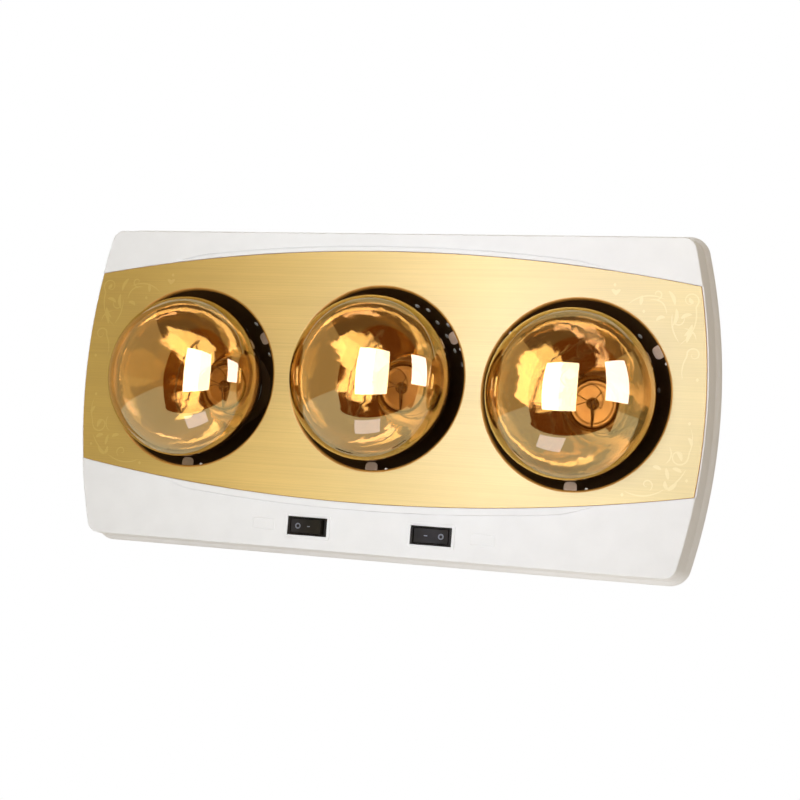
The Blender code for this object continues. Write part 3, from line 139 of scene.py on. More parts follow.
# %% [markdown]
# ## Cuts, joints and soft edges
# Holes and slots are cut with the exact Boolean solver, which is slower than the others and copes with
# faces that lie close together. After a cut, weighted normals keep large flat faces flat beside small
# round ones, and a small bevel softens an edge as a mould or a tool does.


# %% Cuts, joints and soft edges
SHARP_ANGLE = 30
BEVEL_SEGMENTS = 3


def carve(item, tools, operation="DIFFERENCE"):
    """Cuts tools out of an object, or joins them on, one after the other."""
    for tool in tools:
        modifier = item.modifiers.new(tool.name, "BOOLEAN")
        modifier.operation = operation
        modifier.solver = "EXACT"
        modifier.object = tool
    settle(item)
    for tool in tools:
        bpy.data.objects.remove(tool)
    return item


def calm_normals(item, sharp=SHARP_ANGLE):
    """Lets large flat faces keep flat shading beside small round ones."""
    item.data.shade_smooth()
    item.data.set_sharp_from_angle(angle=math.radians(sharp))
    modifier = item.modifiers.new("weights", "WEIGHTED_NORMAL")
    modifier.keep_sharp = True
    return settle(item)


def rounded(item, width, segments=BEVEL_SEGMENTS):
    """Rounds the sharp edges of a moulded or turned piece."""
    modifier = item.modifiers.new("round", "BEVEL")
    modifier.width = width
    modifier.segments = segments
    modifier.limit_method = "ANGLE"
    modifier.harden_normals = True
    return settle(item)


print("an edge counts as sharp from", SHARP_ANGLE, "degrees, and a bevel has", BEVEL_SEGMENTS, "segments")

# %% [markdown]
# ## Gathering and handing over
# Small pieces that are fixed to each other are gathered into one mesh that keeps every finish. Then each
# piece rides on the body that carries it and stands for the plain solids that it covers.


# %% Gathering and handing over
def gathered(name, items):
    """Puts several objects into one mesh, each part with its own finish."""
    shape = bmesh.new()
    finishes = []
    for item in items:
        start = len(shape.faces)
        shape.from_mesh(item.data)
        finish = item.data.materials[0]
        if finish not in finishes:
            finishes.append(finish)
        shape.faces.ensure_lookup_table()
        for face in shape.faces[start:]:
            face.material_index = finishes.index(finish)
        bpy.data.objects.remove(item)
    return linked(name, plain_mesh(name, shape, *finishes))


def fit_out(item, body, slot, *nodes):
    """Rides on a body and stands for CAD nodes, then prints its size. The slot argument is not used."""
    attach(item, body)
    if nodes:
        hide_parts(*nodes)
    item.data.calc_loop_triangles()
    print(f"{item.name}: {len(item.data.loop_triangles)} triangles on {body}")
    return item


# %% [markdown]
# ## Trees of nodes
# A finish is a tree of shader nodes, and a repeated piece is a tree of geometry nodes. Both are built
# by adding nodes and linking sockets, so one helper serves both. A value that is a socket gets linked,
# and any other value is set on the input.


# %% Nodes and sums
def add_node(tree, kind, inputs=None, **settings):
    made = tree.nodes.new(kind)
    for name, value in settings.items():
        setattr(made, name, value)
    for key, value in (inputs or {}).items():
        if isinstance(value, bpy.types.NodeSocket):
            tree.links.new(value, made.inputs[key])
        else:
            made.inputs[key].default_value = value
    return made


def math_node(tree, operation, first, second=0.0):
    return add_node(tree, "ShaderNodeMath", {0: first, 1: second}, operation=operation).outputs[0]


# %% [markdown]
# ## Finishes
# Each finish starts from one Principled shader. Its colour and roughness vary a little through noise that
# reads Object coordinates, so the pattern keeps its real size on every piece. Values that are the same all
# over are set on the shader's own sockets.


# %% A new finish and its noise
def new_finish(name, metallic=0.0, **constants):
    """A material, its tree and its Principled shader, with constants set on the shader's sockets."""
    material = bpy.data.materials.new(name)
    material.use_nodes = True
    tree = material.node_tree
    shader = tree.nodes["Principled BSDF"]
    shader.inputs["Metallic"].default_value = metallic
    for label, value in constants.items():
        shader.inputs[label.replace("_", " ")].default_value = value
    return material, tree, shader


def object_place(tree):
    return add_node(tree, "ShaderNodeTexCoord").outputs["Object"]


def noise(tree, scale, stretch=(1, 1, 1), detail=3.0):
    """Noise with a chosen grain, in lumps per metre, that can be stretched along an axis."""
    mapping = add_node(tree, "ShaderNodeMapping", {"Vector": object_place(tree), "Scale": stretch})
    return add_node(tree, "ShaderNodeTexNoise",
                    {"Vector": mapping.outputs[0], "Scale": scale, "Detail": detail}).outputs["Fac"]


print("materials of the packed model:", len(bpy.data.materials))

# %% [markdown]
# ## From noise to colour, shine and relief
# One noise can drive everything: a range node turns it into a roughness, a mix node into a colour, and a
# bump node into relief. Most finishes here differ only in those numbers, so one function builds them all.
# Its colour follows wide soft clouds, twelve times the size of the grain that gives shine and relief.


# %% Ranges, colours and relief
def between(tree, factor, low, high, start=0.3, end=0.7):
    """A value that goes from low to high as the factor goes from start to end."""
    inputs = {"Value": factor, "From Min": start, "From Max": end, "To Min": low, "To Max": high}
    return add_node(tree, "ShaderNodeMapRange", inputs).outputs["Result"]


def blend_colours(tree, factor, first, second):
    mix = add_node(tree, "ShaderNodeMix", data_type="RGBA")
    for index, value in ((0, factor), (6, first), (7, second)):
        if isinstance(value, bpy.types.NodeSocket):
            tree.links.new(value, mix.inputs[index])
        else:
            mix.inputs[index].default_value = (*value, 1.0)
    return mix.outputs[2]


def bump(tree, shader, height, depth, strength=1.0):
    made = add_node(tree, "ShaderNodeBump", {"Height": height, "Distance": depth, "Strength": strength})
    tree.links.new(made.outputs[0], shader.inputs["Normal"])


CLOUD_SIZE = 12


def simple_finish(name, low, high, rough, grain, depth, metallic=0.0, stretch=(1, 1, 1), **constants):
    """A finish whose colour, roughness and small relief follow one kind of grain."""
    material, tree, shader = new_finish(name, metallic, **constants)
    clouds = noise(tree, grain / CLOUD_SIZE, stretch)
    fine = noise(tree, grain, stretch)
    colour = blend_colours(tree, between(tree, clouds, 0.0, 1.0), low, high)
    tree.links.new(colour, shader.inputs["Base Color"])
    tree.links.new(between(tree, fine, rough[0], rough[1]), shader.inputs["Roughness"])
    bump(tree, shader, fine, depth)
    return material


print("clouds of colour are", CLOUD_SIZE, "times the size of the grain")

# %% [markdown]
# ## Moulded and enamelled surfaces
# The cover is white moulded plastic, the bowls have a black enamel with some brown in it, the rear
# housing has a fine powder coat and the lampholders are glazed porcelain. All of them are plain colours
# at arm's length, so their detail is a fine grain and a slight unevenness of the shine, at the size that
# each process leaves.

# %% Plastic, enamel, powder coat and porcelain
white_plastic = simple_finish("white_plastic", (0.82, 0.825, 0.83), (0.85, 0.855, 0.86), (0.40, 0.50),
                              700, 8e-6, Specular_IOR_Level=0.15)
black_enamel = simple_finish("black_enamel", (0.080, 0.037, 0.009), (0.120, 0.058, 0.014), (0.3, 0.45),
                             500, 2e-5)
coated_steel = simple_finish("coated_steel", (0.76, 0.75, 0.72), (0.82, 0.81, 0.78), (0.42, 0.55), 1600, 4e-5)
porcelain = simple_finish("porcelain", (0.80, 0.78, 0.73), (0.86, 0.85, 0.81), (0.08, 0.2), 350, 2e-5,
                          Coat_Weight=0.4)
print("moulded and enamelled finishes:", len(bpy.data.materials))

# %% [markdown]
# ## Switches and wires
# The switches are moulded in a dull black, with marks printed in grey. The wires inside have sleeves of
# soft plastic in the usual colours: brown for live, blue for neutral, green and yellow for earth.

# %% Black plastic, print and sleeves
black_plastic = simple_finish("black_plastic", (0.010, 0.009, 0.005), (0.018, 0.015, 0.009), (0.42, 0.52),
                              1500, 1.5e-5, Specular_IOR_Level=0.16)
switch_paint = simple_finish("switch_paint", (0.10, 0.11, 0.125), (0.15, 0.16, 0.175), (0.4, 0.5), 1500, 1e-5)
brown_sleeve = simple_finish("brown_sleeve", (0.13, 0.055, 0.025), (0.18, 0.08, 0.035), (0.4, 0.55),
                             1200, 2e-5)
blue_sleeve = simple_finish("blue_sleeve", (0.03, 0.08, 0.33), (0.05, 0.12, 0.42), (0.4, 0.55), 1200, 2e-5)
green_sleeve = simple_finish("green_sleeve", (0.10, 0.30, 0.05), (0.30, 0.42, 0.06), (0.4, 0.55), 300, 2e-5)
print("with plastics and sleeves:", len(bpy.data.materials))

# %% [markdown]
# ## Plain metals
# Rolled and drawn steel keeps faint lines along one direction, so its noise is stretched. Brass, the tungsten
# of the filament, the aluminium of the heat disc, the nickel of the rivets and the darker gold of the plate's
# edges, which is painted shade, differ in colour, in how rough they are and in how much they mirror.

# %% Steel, brass, tungsten, aluminium, nickel and shaded gold rims
bright_steel = simple_finish("bright_steel", (0.56, 0.55, 0.52), (0.68, 0.67, 0.65), (0.25, 0.4), 900, 1e-5,
                             metallic=1.0, stretch=(0.1, 1, 1))
spring_steel = simple_finish("spring_steel", (0.20, 0.145, 0.085), (0.30, 0.22, 0.13), (0.42, 0.55),
                             900, 2e-5, metallic=0.8)
tungsten = simple_finish("tungsten", (0.16, 0.15, 0.14), (0.30, 0.28, 0.26), (0.35, 0.5), 3000, 1e-5,
                         metallic=1.0)
brass = simple_finish("brass", (0.70, 0.50, 0.20), (0.82, 0.63, 0.30), (0.22, 0.36), 800, 1e-5, metallic=1.0)
aluminium = simple_finish("aluminium", (0.66, 0.55, 0.42), (0.86, 0.75, 0.58), (0.28, 0.38), 500, 3e-5,
                          metallic=0.9, stretch=(1, 1, 0.3))
nickel = simple_finish("nickel", (0.84, 0.80, 0.72), (0.93, 0.89, 0.81), (0.35, 0.5), 900, 1e-5,
                       metallic=0.12)
# A darker, redder gold for the plate's turned-away faces and lips: painted shade.
shaded_gold_rim = simple_finish("shaded_gold_rim", (0.50, 0.24, 0.040), (0.62, 0.31, 0.060), (0.42, 0.52), 1200, 1e-5,
                         metallic=0.4)
print("with plain metals:", len(bpy.data.materials))

# %% [markdown]
# ## Brushed gold
# The faceplate is a thin sheet that was brushed along its length, coloured gold and lacquered. Brushing
# leaves fine lines along X, so the noise is stretched that way, and the shine spreads across the lines.
# That spread is the shader's anisotropy, turned by a quarter so that it runs up and down. The lacquer is a
# coat with a broad, pale shine over the deep gold. A colour ramp along X also paints light and shade into the
# gold's colour: a painted sheen, paler towards the middle, and painted shade, darker towards the ends, most
# of all at the left.


# %% Brushed gold finish
# Painted sheen and shade along X: the gold's colour is multiplied by these tints, paler towards the middle
# and darker at the ends, most at the left.
PAINTED_LIGHT_REACH = 0.24
PAINTED_LIGHT_TINTS = ((-0.21, (0.64, 0.60, 0.30)), (0.20, (0.68, 0.71, 0.62)), (-0.10, (0.82, 0.80, 0.74)),
                 (0.00, (0.81, 0.83, 0.83)), (0.09, (0.81, 0.85, 0.90)))


def painted_light_tint(tree):
    """A painted sheen and shade along X, paler in the middle and darker at the ends. A new ramp has two
    stops, so the first two rows set those.
    """
    along = add_node(tree, "ShaderNodeSeparateXYZ", {"Vector": object_place(tree)}).outputs["X"]
    share = between(tree, along, 0.0, 1.0, -PAINTED_LIGHT_REACH, PAINTED_LIGHT_REACH)
    ramp = add_node(tree, "ShaderNodeValToRGB", {"Fac": share})
    stops = ramp.color_ramp.elements
    for index, (x, tint) in enumerate(PAINTED_LIGHT_TINTS):
        position = (x + PAINTED_LIGHT_REACH) / (2 * PAINTED_LIGHT_REACH)
        stop = stops[index] if index < 2 else stops.new(position)
        stop.position = position
        stop.color = (*tint, 1.0)
    return ramp.outputs["Color"]


def brushed_gold(name, low, high, relief):
    material, tree, shader = new_finish(name, 0.85, Anisotropic=0.4, Anisotropic_Rotation=0.25,
                                        Coat_Weight=1.0, Coat_Roughness=0.42, Coat_IOR=1.8)
    lines = noise(tree, 260, (0.02, 1, 6), 6.0)
    patches = noise(tree, 22, (0.35, 1, 1.6), 4.0)
    tone = math_node(tree, "ADD", math_node(tree, "MULTIPLY", lines, 0.6),
                     math_node(tree, "MULTIPLY", patches, 0.4))
    colour = blend_colours(tree, between(tree, tone, 0.0, 1.0, 0.35, 0.65), low, high)
    toned = add_node(tree, "ShaderNodeVectorMath", {0: colour, 1: painted_light_tint(tree)},
                     operation="MULTIPLY")
    tree.links.new(toned.outputs[0], shader.inputs["Base Color"])
    tree.links.new(between(tree, lines, 0.60, 0.72), shader.inputs["Roughness"])
    bump(tree, shader, lines, relief)
    return material


gold_plate = brushed_gold("gold_plate", (0.67, 0.485, 0.074), (0.87, 0.645, 0.134), 1.5e-5)
gold_etching = brushed_gold("gold_etching", (0.80, 0.62, 0.16), (0.93, 0.73, 0.24), 0.5e-5)
print("stops of the lacquer's tint:", len(PAINTED_LIGHT_TINTS))

# %% [markdown]
# ## Gold-coated lamp glass
# The front of such a lamp is clear glass with a gold film so thin that it mirrors some of the light and
# lets the rest through, tinted amber. The Principled shader mixes the two: its metallic share mirrors
# and the rest transmits, and a tinted specular adds the khaki sheen. The rear half is silvered inside,
# so it is a plain mirror that is a little uneven.


# %% Lamp glass finishes
def coated_glass():
    material, tree, shader = new_finish("amber_glass", 0.16, Transmission_Weight=1.0, IOR=1.9,
                                        Specular_Tint=(1.0, 0.99, 0.52, 1.0))
    film = noise(tree, 30, (1, 1, 1), 2.0)
    colour = blend_colours(tree, between(tree, film, 0.0, 1.0), (0.85, 0.585, 0.235), (0.89, 0.635, 0.28))
    tree.links.new(colour, shader.inputs["Base Color"])
    tree.links.new(between(tree, film, 0.012, 0.03), shader.inputs["Roughness"])
    return material


def silvered_glass():
    material, tree, shader = new_finish("silvered_glass", 1.0)
    ripple = noise(tree, 60, (1, 0.3, 1), 2.0)
    colour = blend_colours(tree, between(tree, ripple, 0.0, 1.0), (0.88, 0.85, 0.80), (0.94, 0.92, 0.88))
    tree.links.new(colour, shader.inputs["Base Color"])
    tree.links.new(between(tree, ripple, 0.03, 0.10), shader.inputs["Roughness"])
    bump(tree, shader, ripple, 4e-4)
    return material


amber_glass = coated_glass()
mirror_coat = silvered_glass()
clear_glass = simple_finish("clear_glass", (0.86, 0.86, 0.84), (0.92, 0.92, 0.90), (0.02, 0.06), 200, 5e-6,
                            Transmission_Weight=1.0, IOR=1.5)
print("finishes of the object:", len(bpy.data.materials))

# %% [markdown]
# ## Trees that repeat a shape
# The tabs and rivets stand round a circle, and the screws stand in rows. A loop in Python could copy
# them, but a geometry nodes tree keeps the count and the places as named inputs that can be changed
# later. One tree makes rows and another makes rings. Each takes the shape to repeat as its geometry, and
# ends in Realize Instances and Set Material.


# %% Start and end of a tree
def start_tree(name, sizes):
    """A new geometry nodes tree with a geometry input, named sizes, and a material input."""
    tree = bpy.data.node_groups.new(name, "GeometryNodeTree")
    tree.interface.new_socket("Geometry", in_out="INPUT", socket_type="NodeSocketGeometry")
    for label, kind in sizes:
        tree.interface.new_socket(label, in_out="INPUT", socket_type=f"NodeSocket{kind}")
    tree.interface.new_socket("Finish", in_out="INPUT", socket_type="NodeSocketMaterial")
    tree.interface.new_socket("Geometry", in_out="OUTPUT", socket_type="NodeSocketGeometry")
    return tree, tree.nodes.new("NodeGroupInput").outputs


def end_tree(tree, given, geometry):
    """Ends a tree with a plain mesh in the chosen finish."""
    solid = add_node(tree, "GeometryNodeRealizeInstances", {"Geometry": geometry})
    coated = add_node(tree, "GeometryNodeSetMaterial",
                      {"Geometry": solid.outputs[0], "Material": given["Finish"]})
    add_node(tree, "NodeGroupOutput", {"Geometry": coated.outputs[0]})
    return tree


# %% [markdown]
# ## Rows and rings
# A row multiplies the index of each point by a step. A ring sets every point at the centre and turns the
# copies instead, so that each one keeps facing the middle. The modifier that runs a tree takes its
# values by the sockets' identifiers, because two sockets may share a name.


# %% Row and ring trees
def row_tree():
    tree, given = start_tree("row", (("Count", "Int"), ("Start", "Vector"), ("Step", "Vector")))
    index = add_node(tree, "GeometryNodeInputIndex").outputs[0]
    along = add_node(tree, "ShaderNodeVectorMath", {0: given["Step"], "Scale": index}, operation="SCALE")
    place = add_node(tree, "ShaderNodeVectorMath", {0: along.outputs[0], 1: given["Start"]}, operation="ADD")
    points = add_node(tree, "GeometryNodePoints", {"Count": given["Count"], "Position": place.outputs[0]})
    copies = add_node(tree, "GeometryNodeInstanceOnPoints",
                      {"Points": points.outputs[0], "Instance": given["Geometry"]})
    return end_tree(tree, given, copies.outputs[0])


def ring_tree():
    """Copies stand round the Y axis. The shape itself already stands at its radius, on +X."""
    tree, given = start_tree("ring", (("Count", "Int"), ("First angle", "Float"), ("Angle step", "Float"),
                                      ("Centre", "Vector")))
    index = add_node(tree, "GeometryNodeInputIndex").outputs[0]
    turn = math_node(tree, "MULTIPLY_ADD", index, given["Angle step"])
    tree.links.new(given["First angle"], turn.node.inputs[2])
    spin = add_node(tree, "ShaderNodeCombineXYZ", {"Y": math_node(tree, "MULTIPLY", turn, -1.0)})
    points = add_node(tree, "GeometryNodePoints", {"Count": given["Count"], "Position": given["Centre"]})
    copies = add_node(tree, "GeometryNodeInstanceOnPoints",
                      {"Points": points.outputs[0], "Instance": given["Geometry"],
                       "Rotation": spin.outputs[0]})
    return end_tree(tree, given, copies.outputs[0])


def repeated(item, tree, finish, **values):
    """Runs a tree on an object and keeps the plain mesh that it makes."""
    modifier = item.modifiers.new(tree.name, "NODES")
    modifier.node_group = tree
    inputs = {part.name: part.identifier for part in tree.interface.items_tree if part.in_out == "INPUT"}
    modifier[inputs["Finish"]] = finish
    for label, value in values.items():
        modifier[inputs[label.replace("_", " ")]] = value
    return settle(item)


ROW = row_tree()
RING = ring_tree()
print("trees that repeat:", [tree.name for tree in bpy.data.node_groups])

# %% [markdown]
# ## Trees that follow a path
# A wire is a circle carried along a path. A line of etched ornament is a thin strip that swells in the
# middle and thins out at both ends, as a stroke of a pen does. Both trees take bare edges as their path.


# %% Wire and stroke trees
PEN_TIP = 0.02
PEN_POWER = 0.6


def wire_tree():
    tree, given = start_tree("wire", (("Radius", "Float"), ("Sides", "Int")))
    line = add_node(tree, "GeometryNodeMeshToCurve", {"Mesh": given["Geometry"]})
    round_profile = add_node(tree, "GeometryNodeCurvePrimitiveCircle",
                             {"Resolution": given["Sides"], "Radius": given["Radius"]}, mode="RADIUS")
    wire = add_node(tree, "GeometryNodeCurveToMesh",
                    {"Curve": line.outputs[0], "Profile Curve": round_profile.outputs[0], "Fill Caps": True})
    return end_tree(tree, given, wire.outputs[0])


def stroke_tree():
    tree, given = start_tree("stroke", (("Width", "Float"), ("Thickness", "Float"), ("Spacing", "Float")))
    line = add_node(tree, "GeometryNodeMeshToCurve", {"Mesh": given["Geometry"]})
    even = add_node(tree, "GeometryNodeResampleCurve", {"Curve": line.outputs[0], "Length": given["Spacing"]},
                    mode="LENGTH")
    along = add_node(tree, "GeometryNodeSplineParameter").outputs["Factor"]
    swell = math_node(tree, "SINE", math_node(tree, "MULTIPLY", along, math.pi))
    pen = math_node(tree, "POWER", math_node(tree, "MAXIMUM", swell, PEN_TIP), PEN_POWER)
    nib = add_node(tree, "GeometryNodeCurvePrimitiveQuadrilateral",
                   {"Width": given["Width"], "Height": given["Thickness"]})
    stroke = add_node(tree, "GeometryNodeCurveToMesh",
                      {"Curve": even.outputs[0], "Profile Curve": nib.outputs[0], "Scale": pen,
                       "Fill Caps": True})
    return end_tree(tree, given, stroke.outputs[0])


def bare_paths(name, paths):
    """Edges along paths of (x, y, z) points, for a tree to follow."""
    points, edges = [], []
    for path in paths:
        first = len(points)
        points += path
        edges += [(first + index, first + index + 1) for index in range(len(path) - 1)]
    mesh = bpy.data.meshes.new(name)
    mesh.from_pydata(points, edges, [])
    return linked(name, mesh)


WIRE = wire_tree()
STROKE = stroke_tree()
print("trees:", [tree.name for tree in bpy.data.node_groups])

# %% [markdown]
# ## The lamp's own outline
# Seen from the front, the cover has a straight top and bottom, ends that bow out on a large radius and
# small round corners. Every depth of the moulding uses that outline, grown or drawn in a little, so the
# whole tray comes from one function and a short list of outsets and depths.

# %% Outline of the front
FACE_DEPTH = 0.1240
FACE_TOP = 0.1153
FACE_BOTTOM = 0.1265
FACE_HALF_WIDTH = 0.2487
BOW_RADIUS = 0.4550
CORNER_RADIUS = 0.0100
BOW_CENTRE_X = FACE_HALF_WIDTH - BOW_RADIUS
BOW_CENTRE_Z = (FACE_TOP - FACE_BOTTOM) / 2


def shares(steps):
    """Evenly spaced numbers from 0 to 1, both included."""
    return [step / steps for step in range(steps + 1)]


def arc(centre, radius, start, end, steps):
    """Points on an arc, both ends included."""
    angles = [start + (end - start) * share for share in shares(steps)]
    return [(centre[0] + radius * math.cos(a), centre[1] + radius * math.sin(a)) for a in angles]


def outline(outset, corner_steps=10, bow_steps=40):
    """The outline (x, z) of the cover, grown by outset."""
    corner = CORNER_RADIUS + outset
    bow = BOW_RADIUS + outset
    low_z = -FACE_BOTTOM - outset + corner
    high_z = FACE_TOP + outset - corner
    low_angle = math.asin((low_z - BOW_CENTRE_Z) / (bow - corner))
    high_angle = math.asin((high_z - BOW_CENTRE_Z) / (bow - corner))
    low = (BOW_CENTRE_X + (bow - corner) * math.cos(low_angle), low_z)
    high = (BOW_CENTRE_X + (bow - corner) * math.cos(high_angle), high_z)
    right = arc(low, corner, -math.pi / 2, low_angle, corner_steps)
    right += arc((BOW_CENTRE_X, BOW_CENTRE_Z), bow, low_angle, high_angle, bow_steps)[1:-1]
    right += arc(high, corner, high_angle, math.pi / 2, corner_steps)
    return right + [(-x, z) for x, z in reversed(right)]


def carried(points, *depths):
    """Carries an outline (x, z) to each of some depths behind the flat front."""
    return [[(x, depth - FACE_DEPTH, z) for x, z in points] for depth in depths]


def on_face(place):
    """A place (x, z) on the flat front, as a point of the frame."""
    return (place[0], -FACE_DEPTH, place[1])


print("points of the outline:", len(outline(0.0)))

# %% [markdown]
# ## The curve of the gold plate
# The long edges of the plate are two wide arcs, and its ends follow the bowed ends of the cover. The
# recess in the cover, the plate itself and the raised band beside it all come from these arcs. Where an
# arc meets a bowed end has no short formula, so the place is found by going back and forth a few times.

# %% Plate outline
PLATE_THICKNESS = 0.0010
PLATE_EDGES = {"top": (1, 0.1017, 1.3490), "bottom": (-1, 0.0890, 1.4520)}
PLATE_END_INSET = 0.0011
PLATE_STEPS = 96
PLATE_END_STEPS = 40
SEARCH_ROUNDS = 12


def across(half):
    """Evenly spaced places x from one side to the other."""
    return [half * (2 * share - 1) for share in shares(PLATE_STEPS)]


def edge_height(edge, x, grow=0.0):
    """Height z of one of the plate's long edges at x."""
    side, height, radius = PLATE_EDGES[edge]
    return side * (height + grow - radius + math.sqrt(radius * radius - x * x))


def end_reach(z, inset):
    reach = BOW_RADIUS - inset
    return BOW_CENTRE_X + math.sqrt(reach * reach - (z - BOW_CENTRE_Z) ** 2)


def half_reach(edge, grow, inset):
    """How far a long edge goes before it meets a bowed end."""
    half = FACE_HALF_WIDTH - inset
    for _ in range(SEARCH_ROUNDS):
        half = end_reach(edge_height(edge, half, grow), inset)
    return half


def plate_outline(inset, grow):
    """The plate's outline (x, z), its ends drawn in by inset and its long edges grown."""
    low, high = half_reach("bottom", grow, inset), half_reach("top", grow, inset)
    low_z, high_z = edge_height("bottom", low, grow), edge_height("top", high, grow)
    climb = [low_z + (high_z - low_z) * share for share in shares(PLATE_END_STEPS)[1:-1]]
    points = [(x, edge_height("bottom", x, grow)) for x in across(low)]
    points += [(end_reach(z, inset), z) for z in climb]
    points += [(-x, edge_height("top", x, grow)) for x in across(high)]
    return points + [(-end_reach(z, inset), z) for z in reversed(climb)]


print("half width of the plate at its top edge:", round(half_reach("top", 0.0, PLATE_END_INSET), 4))

# %% [markdown]
# ## The white cover
# The cover is a shallow moulded tray. Its front edge is rounded, its wall leans out a little and then
# flares into a rim that meets the wall of the room. The tray is lofted through outlines, which keeps
# every depth exact. A box with subdivision would be quicker to draw, but the lamp holes, the recess for
# the plate and the switch seats have sharp edges, and subdivision would soften them.

# %% Cover tray
FINE_GAP = 0.0003
COVER_WALL = 0.0028
EDGE_ROUND = 0.0010
WALL_DRAFT = 0.0020
WALL_DEPTH = 0.0210
FLARE = 0.0052
FLARE_DEPTH = 0.0055
FLARE_POWER = 1.6
FLARE_EVEN = 0.02
RIM_DEPTH = 0.0030
RIM_WALL = 0.0020
INNER_CORNER = 0.0010
COVER_DEPTH = WALL_DEPTH + FLARE_DEPTH + RIM_DEPTH


def quarter_turn(steps):
    """Evenly spaced angles from zero to a right angle, both included."""
    return [math.pi / 2 * share for share in shares(steps)]


def flare_outset(share):
    """How far the wall has flared at a share of its way, quickly at first and then more slowly."""
    swell = (1 - FLARE_EVEN) * (1 - (1 - share) ** FLARE_POWER) + FLARE_EVEN * share
    return WALL_DRAFT + (FLARE - WALL_DRAFT) * swell


def cover_rings():
    """Rings of the tray (outset, depth), from the flat front out round the rim and back inside."""
    places = [(EDGE_ROUND * (math.sin(a) - 1), EDGE_ROUND * (1 - math.cos(a))) for a in quarter_turn(6)]
    places += [(WALL_DRAFT * s, EDGE_ROUND + (WALL_DEPTH - EDGE_ROUND) * s) for s in (0.35, 0.7, 1.0)]
    places += [(flare_outset(s), WALL_DEPTH + FLARE_DEPTH * s) for s in shares(8)[1:]]
    places += [(FLARE, COVER_DEPTH - FINE_GAP), (FLARE - FINE_GAP, COVER_DEPTH),
               (FLARE - RIM_WALL, COVER_DEPTH), (FLARE - RIM_WALL, COVER_DEPTH - RIM_DEPTH + INNER_CORNER),
               (WALL_DRAFT - COVER_WALL, WALL_DEPTH + INNER_CORNER), (-COVER_WALL, COVER_WALL)]
    return [carried(outline(outset), depth)[0] for outset, depth in places]


cover = new_piece("cover_shell", lofted(cover_rings()), white_plastic)
print("depth of the cover:", COVER_DEPTH)

# %% [markdown]
# ## Raised band
# Above and below the plate, the cover stands slightly proud in a band that fades out towards the ends.
# The band is lofted as a body of its own, a little narrower in front, and joined on further down.

# %% Raised band
BAND_REACH = {"top": 0.0034, "bottom": 0.0052}
BAND_RISE = 0.0007
BAND_SLOPE = 0.0003
BAND_FADE_START = 0.1450
BAND_FADE_END = 0.1820


def smooth(share):
    """Goes from 0 to 1 with the share, and is level at both ends."""
    return share * share * (3 - 2 * share)


def fade(x):
    """1 along the middle of the band, and 0 where it has run out beside the plate."""
    share = (abs(x) - BAND_FADE_START) / (BAND_FADE_END - BAND_FADE_START)
    return 1 - smooth(min(max(share, 0.0), 1.0))


def band_edge(edge, x, spread):
    """Height z of the band's edge beside one of the plate's long edges."""
    side = PLATE_EDGES[edge][0]
    return edge_height(edge, x) + side * (BAND_REACH[edge] + spread) * fade(x)


def band_outline(spread):
    """The band's outline (x, z), its long edges moved out by spread."""
    xs = across(BAND_FADE_END)
    low = [(x, band_edge("bottom", x, spread)) for x in xs]
    return low + [(x, band_edge("top", x, spread)) for x in reversed(xs)]


band_rings = carried(band_outline(0.0), -BAND_RISE) + carried(band_outline(BAND_SLOPE), 0.0, COVER_WALL / 2)
joined = [new_piece("band_tool", lofted(band_rings), white_plastic)]
print("points round the band:", len(band_rings[0]))

# %% [markdown]
# ## Switch frames and bosses
# A low frame stands round each switch, and four bosses inside the cover take the screws. The frames are
# stepped boxes with round corners, which also serve for the switches and the label frames further down.
# The band, the frames and the bosses are joined to the tray by one union.

# %% Switch frames and bosses
SWITCHES = {"left": (-0.0456, -1), "right": (0.0530, 1)}
SWITCH_DROP = 0.1092
FRAME_SIZE = (0.0370, 0.0190)
FRAME_RISE = 0.0007
BOSS_RADIUS = 0.0034
BOSS_INSET = 0.0045
BOSS_PLACE = 0.1500
FLANGE_DEPTH = COVER_DEPTH - RIM_DEPTH + FINE_GAP
boss_heights = (FACE_TOP - BOSS_INSET, -FACE_BOTTOM + BOSS_INSET)
boss_places = [(x, z) for z in boss_heights for x in (-BOSS_PLACE, BOSS_PLACE)]


def round_box(width, height, corner, steps=5):
    """A rectangle (x, z) with round corners, centred on zero."""
    points = []
    for number, (side, up) in enumerate(((1, -1), (1, 1), (-1, 1), (-1, -1))):
        centre = (side * (width / 2 - corner), up * (height / 2 - corner))
        points += arc(centre, corner, (number - 1) * math.pi / 2, number * math.pi / 2, steps)
    return points


def stepped_box(layers, place, capped=True):
    """A rounded bar through layers, each a size, how much that is grown, a corner and a depth."""
    rings = []
    for (width, height), grow, corner, depth in layers:
        points = round_box(width + grow, height + grow, corner)
        rings += carried([(x + place[0], z + place[1]) for x, z in points], depth)
    return lofted(rings, capped)


def tube_profile(inner, outer, front, back):
    """The profile (radius, depth) of a tube. With an inner radius of zero it is a round bar."""
    return [(inner, front), (outer, front), (outer, back), (inner, back)]


def round_tool(name, radius, low, high, place, segments=48):
    """A round bar along Y at a place (x, z) of the front, to join on or to cut with."""
    shape = turned(tube_profile(0.0, radius, low, high), segments, closed=False)
    return new_piece(name, shape, white_plastic, on_face(place))


for name, (x, _) in SWITCHES.items():
    layers = [(FRAME_SIZE, -0.0008, 0.0012, -FRAME_RISE), (FRAME_SIZE, -0.0002, 0.0014, -FRAME_RISE * 0.7),
              (FRAME_SIZE, 0.0, 0.0015, COVER_WALL / 2)]
    joined.append(new_piece(f"frame_tool_{name}", stepped_box(layers, (x, -SWITCH_DROP)), white_plastic))
for place in boss_places:
    joined.append(round_tool("boss_tool", BOSS_RADIUS, COVER_WALL / 2, FLANGE_DEPTH - FINE_GAP, place, 24))
carve(cover, joined, "UNION")
print("faces of the cover with band, frames and bosses:", len(cover.data.polygons))

